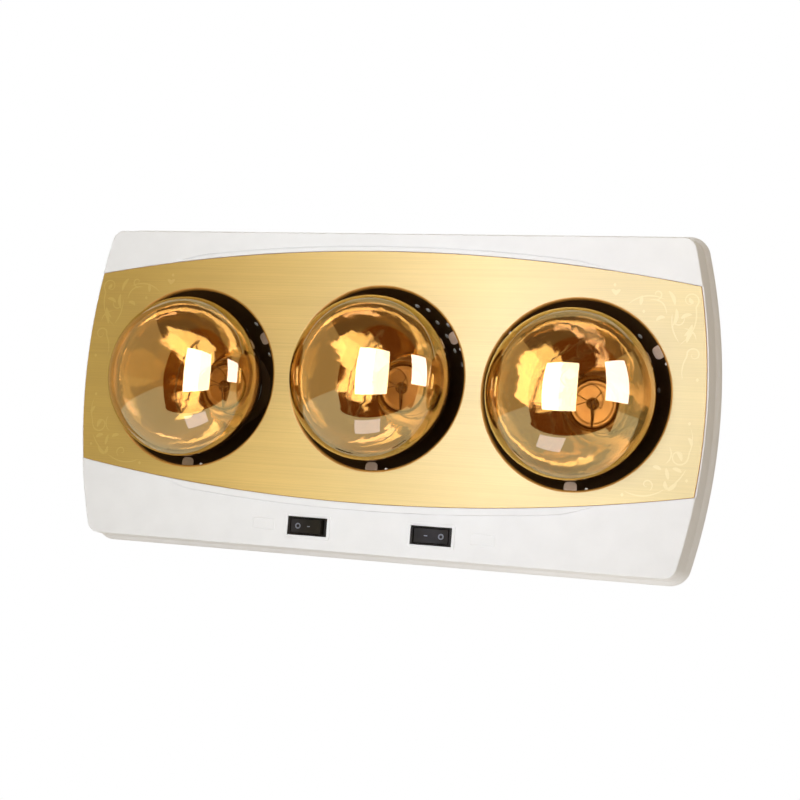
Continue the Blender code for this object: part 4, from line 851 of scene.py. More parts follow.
# %% [markdown]
# ## Openings of the cover
# The plate lies in a shallow recess, and behind it three round holes let the lamps through. Each switch
# has a pocket for its bezel and a window for its body, and each boss has a bore for its screw. All are
# cut in one go. A tool reaches a little past the surface that it cuts, because the Boolean solver has
# trouble with two faces in one plane.

# %% Openings
CUT_OVERRUN = 0.0020
LAMP_PITCH = 0.1534
MIDDLE_LAMP_LIFT = 0.00525
LAMPS = {"left": (-LAMP_PITCH, 0.0), "middle": (0.0, MIDDLE_LAMP_LIFT), "right": (LAMP_PITCH, 0.0)}
HOLE_RADIUS = 0.0700
HOLE_MARGIN = 0.0023
BEZEL_SIZE = (0.0315, 0.0136)
BEZEL_THICKNESS = 0.0018
BODY_SIZE = (0.0286, 0.0126)
SEAT_CORNER = 0.0004
SCREW_RADIUS = 0.0015
SCREW_LENGTH = 0.0100
recess = carried(plate_outline(-CUT_OVERRUN, FINE_GAP), -CUT_OVERRUN, PLATE_THICKNESS + FINE_GAP)
cuts = [new_piece("recess_tool", lofted(recess), white_plastic)]
for place in LAMPS.values():
    cuts.append(round_tool("hole_tool", HOLE_RADIUS + HOLE_MARGIN, -CUT_OVERRUN, COVER_WALL + CUT_OVERRUN,
                           place, 96))
pocket_depth = -FRAME_RISE + BEZEL_THICKNESS + FINE_GAP
for x, _ in SWITCHES.values():
    for size, depth in ((BEZEL_SIZE, pocket_depth), (BODY_SIZE, COVER_WALL + CUT_OVERRUN)):
        layers = [(size, 2 * FINE_GAP, SEAT_CORNER, level) for level in (-CUT_OVERRUN, depth)]
        cuts.append(new_piece("seat_tool", stepped_box(layers, (x, -SWITCH_DROP)), white_plastic))
for place in boss_places:
    cuts.append(round_tool("bore_tool", SCREW_RADIUS + FINE_GAP, FLANGE_DEPTH - SCREW_LENGTH,
                           FLANGE_DEPTH + CUT_OVERRUN, place, 16))
carve(cover, cuts)
print("faces of the cover with its openings:", len(cover.data.polygons))

# %% [markdown]
# ## Grooves along the band
# The raised band is set off by a fine groove along its upper and its lower edge, which shows as a thin
# grey line. Each groove is cut by a long narrow tool whose outline runs out beside the band and back.

# %% Grooves
GROOVE_END = 0.1700
GROOVE_GAP = 0.0004
GROOVE_DEPTH = 0.0007
GROOVE_WIDTHS = {"top": 0.0005, "bottom": 0.0008}


def groove_tool(edge, width):
    side = PLATE_EDGES[edge][0]
    near = [(x, band_edge(edge, x, 0.0) + side * GROOVE_GAP) for x in across(GROOVE_END)]
    far = [(x, z + side * width) for x, z in near]
    shape = lofted(carried(near + far[::-1], -CUT_OVERRUN, GROOVE_DEPTH))
    return new_piece(f"groove_tool_{edge}", shape, white_plastic)


carve(cover, [groove_tool(edge, width) for edge, width in GROOVE_WIDTHS.items()])
calm_normals(cover)
fit_out(cover, "housing", "white_plastic", "front_cover")

# %% [markdown]
# ## Small frames beside the switches
# Outside each switch the moulding has a faint raised frame round a plain field. It is a ridge less than
# a third of a millimetre high. It is lofted through six layers that run up its outer side, over its top
# and down its inner side, and it closes on itself, so it needs no caps.

# %% Small frames
LABEL_SIZE = (0.0190, 0.0090)
LABEL_PLACES = {"left": -0.0818, "right": 0.0924}
LABEL_RISE = 0.0003
LABEL_RIDGE = 0.0009
RIDGE_STEPS = ((0.0, 0.0012, LABEL_RISE), (0.0, 0.0012, 0.0), (-0.5, 0.0011, -LABEL_RISE),
               (-1.5, 0.0008, -LABEL_RISE), (-2.0, 0.0007, 0.0), (-2.0, 0.0007, LABEL_RISE))
for name, x in LABEL_PLACES.items():
    layers = [(LABEL_SIZE, share * LABEL_RIDGE, corner, depth) for share, corner, depth in RIDGE_STEPS]
    ridge = stepped_box(layers, (x, -SWITCH_DROP), capped=False)
    fit_out(new_piece(f"label_frame_{name}", ridge, white_plastic), "housing", "white_plastic")

# %% [markdown]
# ## The gold faceplate
# The plate is a flat sheet with three holes, and the sheet is rolled inwards round each hole, which
# leaves a soft lip that catches a bright line of light. The sheet is lofted with a slightly rounded
# edge, short collars are joined on behind the holes, and one turned tool cuts hole and lip together.

# %% Faceplate
PLATE_ROUND = 0.00025
LIP_RADIUS = 0.0020
LIP_WALL = 0.0010
LIP_DEPTH = 0.0045
LIP_THROAT = HOLE_RADIUS - LIP_RADIUS / 2


def lip_tool():
    """The space inside a lip (radius, depth), wide in front and narrowing on a quarter round."""
    mouth = LIP_THROAT + LIP_RADIUS
    bend = arc((mouth, LIP_RADIUS), LIP_RADIUS, -math.pi / 2, -math.pi, 8)
    back = LIP_DEPTH + CUT_OVERRUN
    return [(0.0, -CUT_OVERRUN), (mouth, -CUT_OVERRUN), *bend, (LIP_THROAT, back), (0.0, back)]


sheet = carried(plate_outline(PLATE_END_INSET + PLATE_ROUND, -PLATE_ROUND), 0.0)
sheet += carried(plate_outline(PLATE_END_INSET, 0.0), PLATE_ROUND, PLATE_THICKNESS)
plate = new_piece("faceplate_sheet", lofted(sheet), gold_plate)
collar = tube_profile(LIP_THROAT - LIP_WALL, LIP_THROAT + LIP_WALL, PLATE_THICKNESS / 2, LIP_DEPTH)
seats = [on_face(place) for place in LAMPS.values()]
carve(plate, [new_piece("collar", turned(collar, 144), gold_plate, seat) for seat in seats], "UNION")
carve(plate, [new_piece("throat", turned(lip_tool(), 160, closed=False), gold_plate, seat) for seat in seats])
calm_normals(plate, 40)

# %% [markdown]
# ## Rims of the faceplate
# The brushing stops at the lips and at the cut edges. Those faces are the ones that don't look straight
# forward or that lie inside a lip's round, and they get their own finish: a darker, redder gold that is
# painted shade on the faces turned away from the front and inside the lips.

# %% Rims
FORWARD = 0.9
LIP_EDGE = LIP_THROAT + 0.9 * LIP_RADIUS


def from_lamp(point):
    """Distance of a point from the nearest lamp's axis."""
    return min(math.hypot(point.x - x, point.z - z) for x, z in LAMPS.values())


# Faces turned away from the front and faces in the lips get a darker, redder gold: painted shade.
plate.data.materials.append(shaded_gold_rim)
for face in plate.data.polygons:
    corners = [plate.data.vertices[index].co for index in face.vertices]
    in_lip = max(from_lamp(corner) for corner in corners) < LIP_EDGE
    if in_lip or abs(face.normal.y) < FORWARD:
        face.material_index = 1
print("rim faces:", sum(face.material_index for face in plate.data.polygons))
fit_out(plate, "housing", "gold_plate", "gold_faceplate")

# %% [markdown]
# ## Etched scrolls
# The corners of the plate carry a light scroll ornament of the common kind, with curls, leaves and dots,
# that is etched into the gold. Each line is a path of points, and the stroke tree draws it as a strip
# that stands a tenth of a millimetre proud. Lines that cross lie at slightly different heights, since
# two faces in one plane would flicker. The left side is the right one mirrored.


# %% Scroll lines
CURL_END = 0.18
STROKE_THICKNESS = 0.00012
STROKE_SPACING = 0.0006
STROKE_LIFT = 0.000006


def curl(centre, radius, start, turns, steps=30):
    """A spiral that winds in towards its centre. A negative number of turns winds the other way."""
    points = []
    for share in shares(steps):
        reach = radius * (1 - (1 - CURL_END) * share)
        angle = math.radians(start) + math.tau * turns * share
        points.append((centre[0] + reach * math.cos(angle), centre[1] + reach * math.sin(angle)))
    return points


def sweep_line(start, end, bend, steps=14):
    """A line from start to end that bows out sideways by a share of its length."""
    along = (end[0] - start[0], end[1] - start[1])
    points = []
    for share in shares(steps):
        out = 4 * bend * share * (1 - share)
        points.append((start[0] + along[0] * share - along[1] * out,
                       start[1] + along[1] * share + along[0] * out))
    return points


def etched(name, lines, width, lowest):
    """Draws lines (x, z), in millimetres, on both sides of the plate's front, each a little higher."""
    paths = []
    for side in (-1, 1):
        for index, line in enumerate(lines):
            height = lowest + STROKE_LIFT * index
            paths.append([(side * x / 1000, z / 1000, height) for x, z in line])
    strokes = repeated(bare_paths(name, paths), STROKE, gold_etching, Width=width,
                       Thickness=STROKE_THICKNESS, Spacing=STROKE_SPACING)
    strokes.data.transform(Matrix.Translation((0, -FACE_DEPTH, 0)) @ Matrix.Rotation(math.pi / 2, 4, "X"))
    strokes.data.shade_flat()
    return strokes


print("points of a curl:", len(curl((0.0, 0.0), 1.0, 0.0, 1.0)))

# %% [markdown]
# ## The corners' layout
# Each corner has a few long stems that end in curls, with leaves and single dots between them. The stems
# are thin, the leaves are short strokes with a wide pen, and the upper and the lower corner differ.

# %% Scrolls
upper_lines = [
    sweep_line((226, 38), (236.5, 65), -0.16) + curl((232.5, 70.0), 6.2, -40, 1.25)[2:],
    sweep_line((230, 14), (232.0, 30), 0.10) + curl((237.0, 31.5), 5.4, 185, -1.2)[2:],
    sweep_line((188, 66.5), (214, 70.5), 0.16), sweep_line((203, 70), (216, 60), 0.25),
    curl((208.5, 74.0), 4.2, 240, 1.0), sweep_line((220, 60), (226, 40), -0.10),
    curl((224.0, 56.0), 5.0, 20, -0.8), sweep_line((229, 50), (238, 42), 0.2),
]
upper_leaves = [
    sweep_line((216.5, 76.5), (221.5, 66.5), 0.10), sweep_line((222.5, 64.0), (221.0, 52.0), 0.12),
    sweep_line((226.5, 57.0), (234.0, 60.0), 0.14), sweep_line((229.5, 45.0), (234.5, 53.0), -0.12),
    sweep_line((231.5, 40.0), (235.5, 48.0), 0.12), sweep_line((197.0, 66.0), (197.6, 73.0), 0.0),
    sweep_line((175.2, 76.6), (178.6, 72.6), 0.16), sweep_line((182.0, 76.6), (178.6, 72.6), -0.16),
    sweep_line((209.0, 55.0), (215.0, 57.5), 0.2), sweep_line((234.5, 68.0), (231.5, 72.0), 0.1),
]
lower_lines = [
    sweep_line((238.0, -20.0), (238.2, -37.0), 0.10) + curl((231.0, -40.5), 7.0, 28, -1.3)[2:],
    sweep_line((194.0, -67.0), (222.0, -64.0), -0.14), curl((209.5, -61.5), 4.6, -60, 1.0),
    sweep_line((222.5, -64.5), (236.5, -49.0), -0.08), sweep_line((224.0, -34.0), (222.0, -46.0), 0.2),
]
lower_leaves = [
    sweep_line((229.0, -37.5), (233.0, -43.5), 0.14), sweep_line((227.0, -49.0), (233.5, -51.5), 0.10),
    sweep_line((222.5, -49.0), (224.5, -57.0), 0.0), sweep_line((222.5, -58.0), (225.0, -64.0), -0.18),
    sweep_line((230.5, -58.0), (224.5, -64.5), 0.10), sweep_line((213.0, -48.5), (219.0, -50.5), 0.12),
    sweep_line((236.5, -27.0), (239.5, -33.0), 0.14),
]
dots = [[(x - 1.1, z), (x + 1.1, z)] for x, z in
        ((177.5, 80.2), (199.5, 61.5), (237.4, -57.0), (237.0, -17.0), (192.5, -69.6), (240.5, 14.0))]
FINE_PEN, WIDE_PEN = 0.0010, 0.0026
LEAF_LIFT = 0.00008
stems = etched("scroll_lines", upper_lines + lower_lines, FINE_PEN, 0.0)
leaves = etched("scroll_leaves", upper_leaves + lower_leaves, WIDE_PEN, LEAF_LIFT)
spots = etched("scroll_dots", dots, WIDE_PEN, 0.0)
fit_out(gathered("plate_scrolls", [stems, leaves, spots]), "housing", "gold_plate")

# %% [markdown]
# ## Bowls
# Behind each hole hangs a bowl, pressed from sheet and enamelled, that keeps the lamp's heat off the
# cover. It is round all the way, so it is turned from a curved profile with the thickness of the sheet.

# %% Bowls
BOWL_STEEL = 0.0008
BOWL_FRONT = COVER_WALL + FINE_GAP
BOWL_MOUTH = HOLE_RADIUS + 0.0016
BOWL_FLANGE = 0.0046
BOWL_DEPTH = 0.0760
BOWL_FLOOR = 0.0320
BOWL_FLOOR_HOLE = 0.0240
BOWL_POWER = 1.6


def bowl_radius(share):
    """Radius of the bowl's inner side at a share of its depth."""
    return BOWL_FLOOR + (BOWL_MOUTH - BOWL_FLOOR) * (1 - share ** BOWL_POWER)


def bowl_profile():
    inner = [(bowl_radius(share), BOWL_FRONT + BOWL_DEPTH * share) for share in shares(28)]
    outer = [(radius + BOWL_STEEL, depth + BOWL_STEEL) for radius, depth in inner]
    floor = [(BOWL_FLOOR_HOLE, inner[-1][1]), (BOWL_FLOOR_HOLE, inner[-1][1] + BOWL_STEEL)]
    mouth = BOWL_MOUTH + BOWL_FLANGE
    return [(mouth, BOWL_FRONT)] + inner + floor + outer[::-1] + [(mouth, BOWL_FRONT + BOWL_STEEL)]


for name, place in LAMPS.items():
    bowl = new_piece(f"bowl_shell_{name}", turned(bowl_profile(), 128), black_enamel, on_face(place))
    fit_out(calm_normals(bowl), "housing", "black_enamel", f"bowl_{name}")

# %% [markdown]
# ## Rivets on the bowls' walls
# Bright domed rivets hold heat shields to the back of each bowl's wall. Each one is turned, tilted to
# stand square on the wall, and set at its angle by the ring tree. Their depths, in millimetres, and their
# angles follow no rule, so they are listed.

# %% Wall rivets
RIVET_RADIUS = 0.0021
RIVET_DOME = 0.0009
SLOPE_STEP = 0.01
WALL_RIVETS = {
    "left": ((41.2, 56.4), (62.0, 36.0)),
    "middle": ((33, 74), (32, 65), (41, 57), (31, 46.5), (47, 46), (50.5, 33), (46.6, 19)),
    "right": ((36.2, 52.2), (52.0, 12.0)),
}


def dome_profile(radius, height, foot):
    dome = [(radius * math.sin(a), -height * math.cos(a)) for a in quarter_turn(6)]
    return dome + [(radius, foot), (0.0, foot)]


def wall_rivet(depth):
    """A rivet that stands square on the bowl's wall at one depth, on its +X side."""
    share = (depth - BOWL_FRONT) / BOWL_DEPTH
    change = bowl_radius(share + SLOPE_STEP) - bowl_radius(share - SLOPE_STEP)
    slope = change / (2 * SLOPE_STEP * BOWL_DEPTH)
    rivet = turned(dome_profile(RIVET_RADIUS, RIVET_DOME, BOWL_STEEL / 2), 20, closed=False)
    turn = Matrix.Rotation(math.atan2(-1.0, -slope), 3, "Z")
    bmesh.ops.rotate(rivet, verts=rivet.verts, cent=(0, 0, 0), matrix=turn)
    return new_piece("wall_rivet", rivet, nickel, (bowl_radius(share), depth - FACE_DEPTH, 0.0))


def set_in_ring(item, finish, count, first, step, centre):
    """Copies a shape round a lamp's axis, with its angles in degrees."""
    return repeated(item, RING, finish, Count=count, First_angle=math.radians(first),
                    Angle_step=math.radians(step), Centre=(centre[0], 0.0, centre[1]))


for name, place in LAMPS.items():
    rivets = [set_in_ring(wall_rivet(depth / 1000), nickel, 1, angle, 0, place)
              for depth, angle in WALL_RIVETS[name]]
    fit_out(gathered(f"wall_rivets_{name}", rivets), "housing", "bright_steel")

# %% [markdown]
# ## Sprung rings with three tabs
# A thin ring is sprung into the mouth of each bowl. Three wide tabs reach in towards the lamp, and each
# has a small domed rivet beside it. The ring is turned, and the ring tree repeats one tab at its three
# angles. The rivets stand at their own angles, so each of them is set alone.

# %% Rings, tabs and rivets
RING_DEPTH = 0.0024
RING_SHARE = 0.042
RING_STEEL = 0.0008
RING_WIDTH = 0.0010
TAB_WIDTH = 0.0096
TAB_REACH = 0.0085
TAB_ROUND = 0.34
TAB_BEND = 0.0009
TAB_SKIN = 0.00004
TAB_COUNT, TAB_FIRST, TAB_STEP = 3, 30, 120
RING_RIVET_RADIUS = 0.0012
RING_RIVET_INSET = 0.0026
RING_RIVET_ANGLES = (21.5, 140.5, 280.0)
ring_seat = bowl_radius(RING_SHARE) - FINE_GAP
ring_front = BOWL_FRONT + RING_DEPTH


def tab_shape():
    """One tab on the +X side, with a rounded tip that is bent a little into the bowl."""
    inner, outer = ring_seat - TAB_REACH, ring_seat - RING_WIDTH / 4
    tip = TAB_WIDTH * TAB_ROUND
    edge = [(inner + tip * (1 - math.cos(a)), TAB_WIDTH / 2 - tip * (1 - math.sin(a)))
            for a in quarter_turn(6)]
    side = [(inner + tip + (outer - inner - tip) * share, TAB_WIDTH / 2) for share in shares(6)[1:]]
    points = edge + side + [(x, -z) for x, z in reversed(edge + side)]
    rings = []
    for lift in (TAB_SKIN, RING_STEEL - TAB_SKIN):
        level = ring_front - FACE_DEPTH + lift
        rings.append([(x, level + TAB_BEND * ((outer - x) / TAB_REACH) ** 2, z) for x, z in points])
    return lofted(rings)


def ring_rivet():
    shape = turned(dome_profile(RING_RIVET_RADIUS, RING_RIVET_RADIUS * 0.6, RING_STEEL), 16, closed=False)
    place = (ring_seat - RING_RIVET_INSET, ring_front - FACE_DEPTH, 0.0)
    return new_piece("ring_rivet", shape, nickel, place)


hoop_profile = tube_profile(ring_seat - RING_WIDTH, ring_seat, ring_front, ring_front + RING_STEEL)
for name, place in LAMPS.items():
    hoop = new_piece("hoop", turned(hoop_profile, 128), spring_steel, on_face(place))
    tab = new_piece("tab", tab_shape(), spring_steel)
    tabs = set_in_ring(tab, spring_steel, TAB_COUNT, TAB_FIRST, TAB_STEP, place)
    rivets = [set_in_ring(ring_rivet(), nickel, 1, angle, 0, place) for angle in RING_RIVET_ANGLES]
    ring = gathered(f"sprung_ring_{name}", [hoop, tabs, *rivets])
    fit_out(ring, "housing", "bright_steel", f"bowl_ring_{name}")

# %% [markdown]
# ## The lamps' glass
# A reflector lamp is one blown bulb: a shallow dome in front, a rear half shaped like a bowl that
# mirrors the light forward, and a neck. It is turned as one thin shell from a smooth profile. The faces
# behind the widest circle get the silvered finish, as they do in the factory. The neck is left clear.

# %% Lamp glass
GLASS_RADIUS = 0.0620
GLASS_DOME = 0.0400
GLASS_REAR = 0.0780
GLASS_WALL = 0.0010
REAR_POWERS = (1.8, 1.25)
NECK_RADIUS = 0.0190
NECK_LENGTH = 0.0090
TAPER_LENGTH = 0.0110
TAIL_RADIUS = 0.0116
TAIL_LENGTH = 0.0060
EQUATOR_Y = -0.1384
LAMP_SAG = 0.0010
SILVER_START = 0.0080
SILVER_END = 0.0720
lamp_places = {name: (x, EQUATOR_Y, z - LAMP_SAG) for name, (x, z) in LAMPS.items()}


def glass_half(shrink):
    """Half the outline (radius, distance behind the widest circle) of the glass."""
    radius, dome = GLASS_RADIUS - shrink, GLASS_DOME - shrink
    neck, tail = NECK_RADIUS - shrink, TAIL_RADIUS - shrink
    points = [(radius * math.sin(a), -dome * math.cos(a)) for a in quarter_turn(30)]
    for share in shares(40)[1:]:
        swell = (1 - share ** REAR_POWERS[0]) ** REAR_POWERS[1]
        points.append((neck + (radius - neck) * swell, GLASS_REAR * share))
    neck_end = GLASS_REAR + NECK_LENGTH
    points += [(neck + (tail - neck) * smooth(share), neck_end + TAPER_LENGTH * share) for share in shares(8)]
    return points + [(tail, neck_end + TAPER_LENGTH + TAIL_LENGTH)]


for name, place in lamp_places.items():
    shape = turned(glass_half(0.0) + glass_half(GLASS_WALL)[::-1], 128, closed=False)
    glass = new_piece(f"bulb_glass_{name}", shape, amber_glass, place, 60)
    glass.data.materials.append(mirror_coat)
    for face in glass.data.polygons:
        if SILVER_START < face.center.y - EQUATOR_Y < SILVER_END:
            face.material_index = 1
    fit_out(glass, "housing", "amber_glass", f"lamp_glass_{name}")

# %% [markdown]
# ## Stem and heat disc
# In the neck of each bulb stands a glass stem that carries the filament. A metal disc on it keeps heat
# off the cap, and seen through the amber front it glows orange in a dark neck. The stem is turned. The
# disc is turned too, with a rolled rim, and a slot lets the lead wire out to the side.

# %% Stem and heat disc
STEM_FRONT = 0.0700
STEM_ROUND = 0.0015
STEM_RADIUS = 0.0045
STEM_FLARE = 0.0080
STEM_END = 0.1040
STEM_TAIL = TAIL_RADIUS - GLASS_WALL - FINE_GAP
DISC_PLACE = 0.0755
DISC_RADIUS = 0.0178
DISC_THICKNESS = 0.0008
DISC_RIM = 0.0013
SLOT_START, SLOT_HALF, SLOT_REACH = 0.0030, 0.0007, 0.0020


def bar(low, high):
    """A plain rectangular bar between two corners."""
    return lofted([[(low[0], y, low[2]), (high[0], y, low[2]), (high[0], y, high[2]), (low[0], y, high[2])]
                   for y in (low[1], high[1])])


def stem_profile():
    pinch = [(STEM_RADIUS * math.sin(a), STEM_FRONT + STEM_ROUND * (1 - math.cos(a)))
             for a in quarter_turn(5)]
    flare = [(STEM_RADIUS + (STEM_TAIL - STEM_RADIUS) * smooth(share), STEM_END - STEM_FLARE * (1 - share))
             for share in shares(6)]
    return pinch + flare + [(0.0, STEM_END)]


def disc_profile():
    """The disc (radius, depth), with a shallow groove inside a rolled rim."""
    front, back = DISC_PLACE, DISC_PLACE + DISC_THICKNESS
    groove = DISC_RADIUS - 2.6 * DISC_RIM
    return [(STEM_RADIUS, front), (groove, front + DISC_THICKNESS / 4),
            (groove + DISC_RIM / 2, front - 0.0002), (DISC_RADIUS - DISC_RIM, front - 0.0005),
            (DISC_RADIUS - DISC_RIM / 3, front - 0.0003), (DISC_RADIUS, front + 0.0002),
            (DISC_RADIUS, back), (STEM_RADIUS, back)]


for name, place in lamp_places.items():
    glass_stem = new_piece("stem", turned(stem_profile(), 48, closed=False), clear_glass, place)
    disc = new_piece("disc", turned(disc_profile(), 64), aluminium, place)
    slot = bar((-SLOT_HALF, DISC_PLACE - SLOT_REACH, -DISC_RADIUS * 1.1),
               (SLOT_HALF, DISC_PLACE + SLOT_REACH, -SLOT_START))
    carve(disc, [new_piece("slot_tool", slot, aluminium, place)])
    calm_normals(disc)
    fit_out(gathered(f"stem_{name}", [glass_stem, disc]), "housing", "clear_glass", f"lamp_stem_{name}")

# %% [markdown]
# ## Filament
# The filament is a fine tungsten coil on a ring, open at the bottom, between two lead wires, with bare
# support wires that spread from the stem. A thicker wire feeds them and runs down across the heat disc.
# The coil is a helix of points along that ring, and the wire tree gives all wires their thickness.

# %% Filament wires
FILAMENT_RADIUS = 0.0130
FILAMENT_PLACE = 0.0500
FILAMENT_ARC = math.radians(230)
COIL_RADIUS = 0.0006
COIL_TURNS = 34
COIL_STEPS = 10
COIL_WIRE, SUPPORT_WIRE, FEED_WIRE = 0.00022, 0.00035, 0.0007
LEAD_SPACING = 0.0028
FEED_POINTS = [(0.0, STEM_FRONT - 0.0005, 0.0), (0.0, STEM_FRONT + 0.001, -0.006),
               (0.0, DISC_PLACE - 0.001, -0.0172)]


def ring_point(angle):
    return (FILAMENT_RADIUS * math.sin(angle), FILAMENT_RADIUS * math.cos(angle))


def coil_points():
    points = []
    for index in range(COIL_TURNS * COIL_STEPS + 1):
        turn = math.tau * index / COIL_STEPS
        reach = 1 + COIL_RADIUS * math.cos(turn) / FILAMENT_RADIUS
        x, z = ring_point(FILAMENT_ARC * (index / (COIL_TURNS * COIL_STEPS) - 0.5))
        points.append((x * reach, FILAMENT_PLACE + COIL_RADIUS * math.sin(turn), z * reach))
    return points


def support_paths():
    """Two leads to the ends of the coil and two supports that hook it from behind."""
    paths = []
    for side in (-1, 1):
        end_x, end_z = ring_point(side * FILAMENT_ARC / 2)
        foot, knee = ((side * LEAD_SPACING, STEM_FRONT + level, 0.0) for level in (0.004, -0.008))
        paths.append([foot, knee, (end_x, FILAMENT_PLACE, end_z)])
        hook_x, hook_z = ring_point(math.radians(60) * side)
        foot, knee = ((hook_x * share, STEM_FRONT + level, hook_z * share)
                      for share, level in ((0.12, 0.003), (0.3, -0.006)))
        paths.append([foot, knee, (hook_x, FILAMENT_PLACE + 0.0009, hook_z)])
    return paths


def wired(name, paths, radius, sides):
    return repeated(bare_paths(name, paths), WIRE, tungsten, Radius=radius, Sides=sides)


for name, place in lamp_places.items():
    wires = gathered(f"filament_{name}", [wired("coil", [coil_points()], COIL_WIRE, 6),
                                          wired("leads", support_paths(), SUPPORT_WIRE, 8),
                                          wired("feed", [FEED_POINTS], FEED_WIRE, 10)])
    wires.data.transform(Matrix.Translation(place))
    wires.data.shade_smooth()
    fit_out(wires, "housing", "tungsten", f"lamp_filament_{name}")

# %% [markdown]
# ## Switch bodies
# Each rocker switch clips into the cover behind a slim black bezel with rounded edges. Its body is one
# moulding: a hollow for the rocker in front and a base behind it, with slots for the blade terminals.
# It is lofted through rounded rectangles, and a Boolean cuts the slots and the holes for the pivot.

# %% Switch bodies
OPENING_SIZE = (0.0274, 0.0112)
HOLLOW_DEPTH = 0.0150
SWITCH_BACK = HOLLOW_DEPTH + 0.0040
PIVOT_DEPTH = 0.0029
PIN_RADIUS = 0.0012
BLADE_SIZE = (0.0008, 0.0060)
PAD_PLACE = 0.0070


def switch_layers():
    """Layers of the moulding, from the floor of the hollow out, round the bezel and to the back."""
    front, back = -FRAME_RISE, -FRAME_RISE + BEZEL_THICKNESS
    return [
        (OPENING_SIZE, 0.0, 0.0003, HOLLOW_DEPTH), (OPENING_SIZE, 0.0, 0.0003, front + 0.0007),
        (OPENING_SIZE, 0.0004, 0.0004, front + 0.0002), (OPENING_SIZE, 0.0009, 0.0005, front),
        (BEZEL_SIZE, -0.0008, 0.0005, front), (BEZEL_SIZE, -0.0002, 0.0006, front + 0.0002),
        (BEZEL_SIZE, 0.0, 0.0006, front + 0.0006), (BEZEL_SIZE, 0.0, 0.0006, back),
        (BODY_SIZE, 0.0, 0.0004, back), (BODY_SIZE, 0.0, 0.0004, SWITCH_BACK),
    ]


def blade_tool(x):
    """A slot for one blade terminal at x, cut through the base."""
    half_width, half_height = (size / 2 + FINE_GAP for size in BLADE_SIZE)
    low = (x - half_width, HOLLOW_DEPTH - CUT_OVERRUN - FACE_DEPTH, -SWITCH_DROP - half_height)
    high = (x + half_width, SWITCH_BACK + CUT_OVERRUN - FACE_DEPTH, -SWITCH_DROP + half_height)
    return new_piece("blade_tool", bar(low, high), black_plastic)


def upright_bar(radius, reach, place):
    """A round bar along Z, for the rocker's pins and the holes that take them."""
    shape = turned(tube_profile(0.0, radius, -reach, reach), 24, closed=False)
    bmesh.ops.rotate(shape, verts=shape.verts, cent=(0, 0, 0), matrix=Matrix.Rotation(math.pi / 2, 3, "X"))
    return new_piece("upright_bar", shape, black_plastic, place)


pivots = {name: (x, PIVOT_DEPTH - FACE_DEPTH, -SWITCH_DROP) for name, (x, _) in SWITCHES.items()}
for name, (x, off_side) in SWITCHES.items():
    shape = stepped_box(switch_layers(), (x, -SWITCH_DROP))
    body = new_piece(f"switch_moulding_{name}", shape, black_plastic)
    pin_hole = upright_bar(PIN_RADIUS + FINE_GAP, BODY_SIZE[1] / 2 + 0.001, pivots[name])
    carve(body, [pin_hole, blade_tool(x), blade_tool(x + off_side * PAD_PLACE)])
    fit_out(calm_normals(body), "housing", "black_plastic", f"switch_body_{name}")

# %% [markdown]
# ## Rockers
# A rocker has two faces that meet over its pivot, each a little hollow for the fingertip. It is drawn as
# a profile, carried across its width and bevelled. It is made about its pivot, and then tilted with its
# off side pressed in and moved to its place, because a rocker at rest is never straight.

# %% Rockers
ROCKER_HALF = 0.0128
ROCKER_HEIGHT = 0.0106
ROCKER_FACE = 0.0034
ROCKER_TILT = math.radians(7.5)
ROCKER_SKIRT = 0.0010
ROCKER_ROUND = 0.0003
BELLY_HALF, BELLY_DEPTH = 0.0070, 0.0045
NUB_HALF, NUB_DEPTH = 0.0012, 0.0090
FACE_HOLLOW = 0.00035
PIN_REACH = OPENING_SIZE[1] / 2 + 0.0005


def face_depth(x):
    """Depth of the rocker's face at x, with a hollow between the middle and each end."""
    share = min(abs(x) / ROCKER_HALF, 1.0)
    rise = ROCKER_HALF * math.tan(ROCKER_TILT)
    return -(ROCKER_FACE + rise * share) + FACE_HOLLOW * math.sin(math.pi * share)


def rocker_outline():
    face = [(x, face_depth(x)) for x in (ROCKER_HALF * step / 10 for step in range(-10, 11))]
    right = [(ROCKER_HALF, ROCKER_SKIRT), (BELLY_HALF, BELLY_DEPTH), (NUB_HALF, BELLY_DEPTH),
             (NUB_HALF, NUB_DEPTH)]
    return face + right + [(-x, y) for x, y in reversed(right)]


def set_on_pivot(item, name):
    """Tilts a piece that was made about the pivot and puts it in its place."""
    turn = Matrix.Rotation(SWITCHES[name][1] * ROCKER_TILT, 4, "Z")
    item.data.transform(Matrix.Translation(pivots[name]) @ turn)
    return item


for name in SWITCHES:
    rings = [[(x, y, z) for x, y in rocker_outline()] for z in (-ROCKER_HEIGHT / 2, ROCKER_HEIGHT / 2)]
    rocker = rounded(new_piece(f"rocker_cap_{name}", lofted(rings), black_plastic), ROCKER_ROUND)
    carve(rocker, [upright_bar(PIN_RADIUS, PIN_REACH, (0, 0, 0))], "UNION")
    set_on_pivot(calm_normals(rocker), name)
    fit_out(rocker, f"rocker_{name}", "black_plastic", f"rocker_{name}")

# %% [markdown]
# ## Marks on the rockers
# The marks are the usual ring for off and dash for on. An image would need a texture map, so they are
# modelled instead, a few hundredths of a millimetre thick, and follow the hollow of the face as print
# does. The dash stands in a different place on each rocker, as on the real switches.

# %% Marks
MARK_LIFT = 0.00004
RING_MARK_PLACE = 0.0072
RING_MARK_OUTER, RING_MARK_INNER = 0.0022, 0.0012
DASH_SIZE = (0.0026, 0.0008, 0.0003)
DASH_PLACES = {"left": 0.0018, "right": 0.0043}


def printed(name, outlines, capped):
    """A thin mark through outlines (x, z), each with how far it lies in front of the rocker's face."""
    rings = [[(x, face_depth(x) - lift, z) for x, z in points] for points, lift in outlines]
    return new_piece(name, lofted(rings, capped), switch_paint)


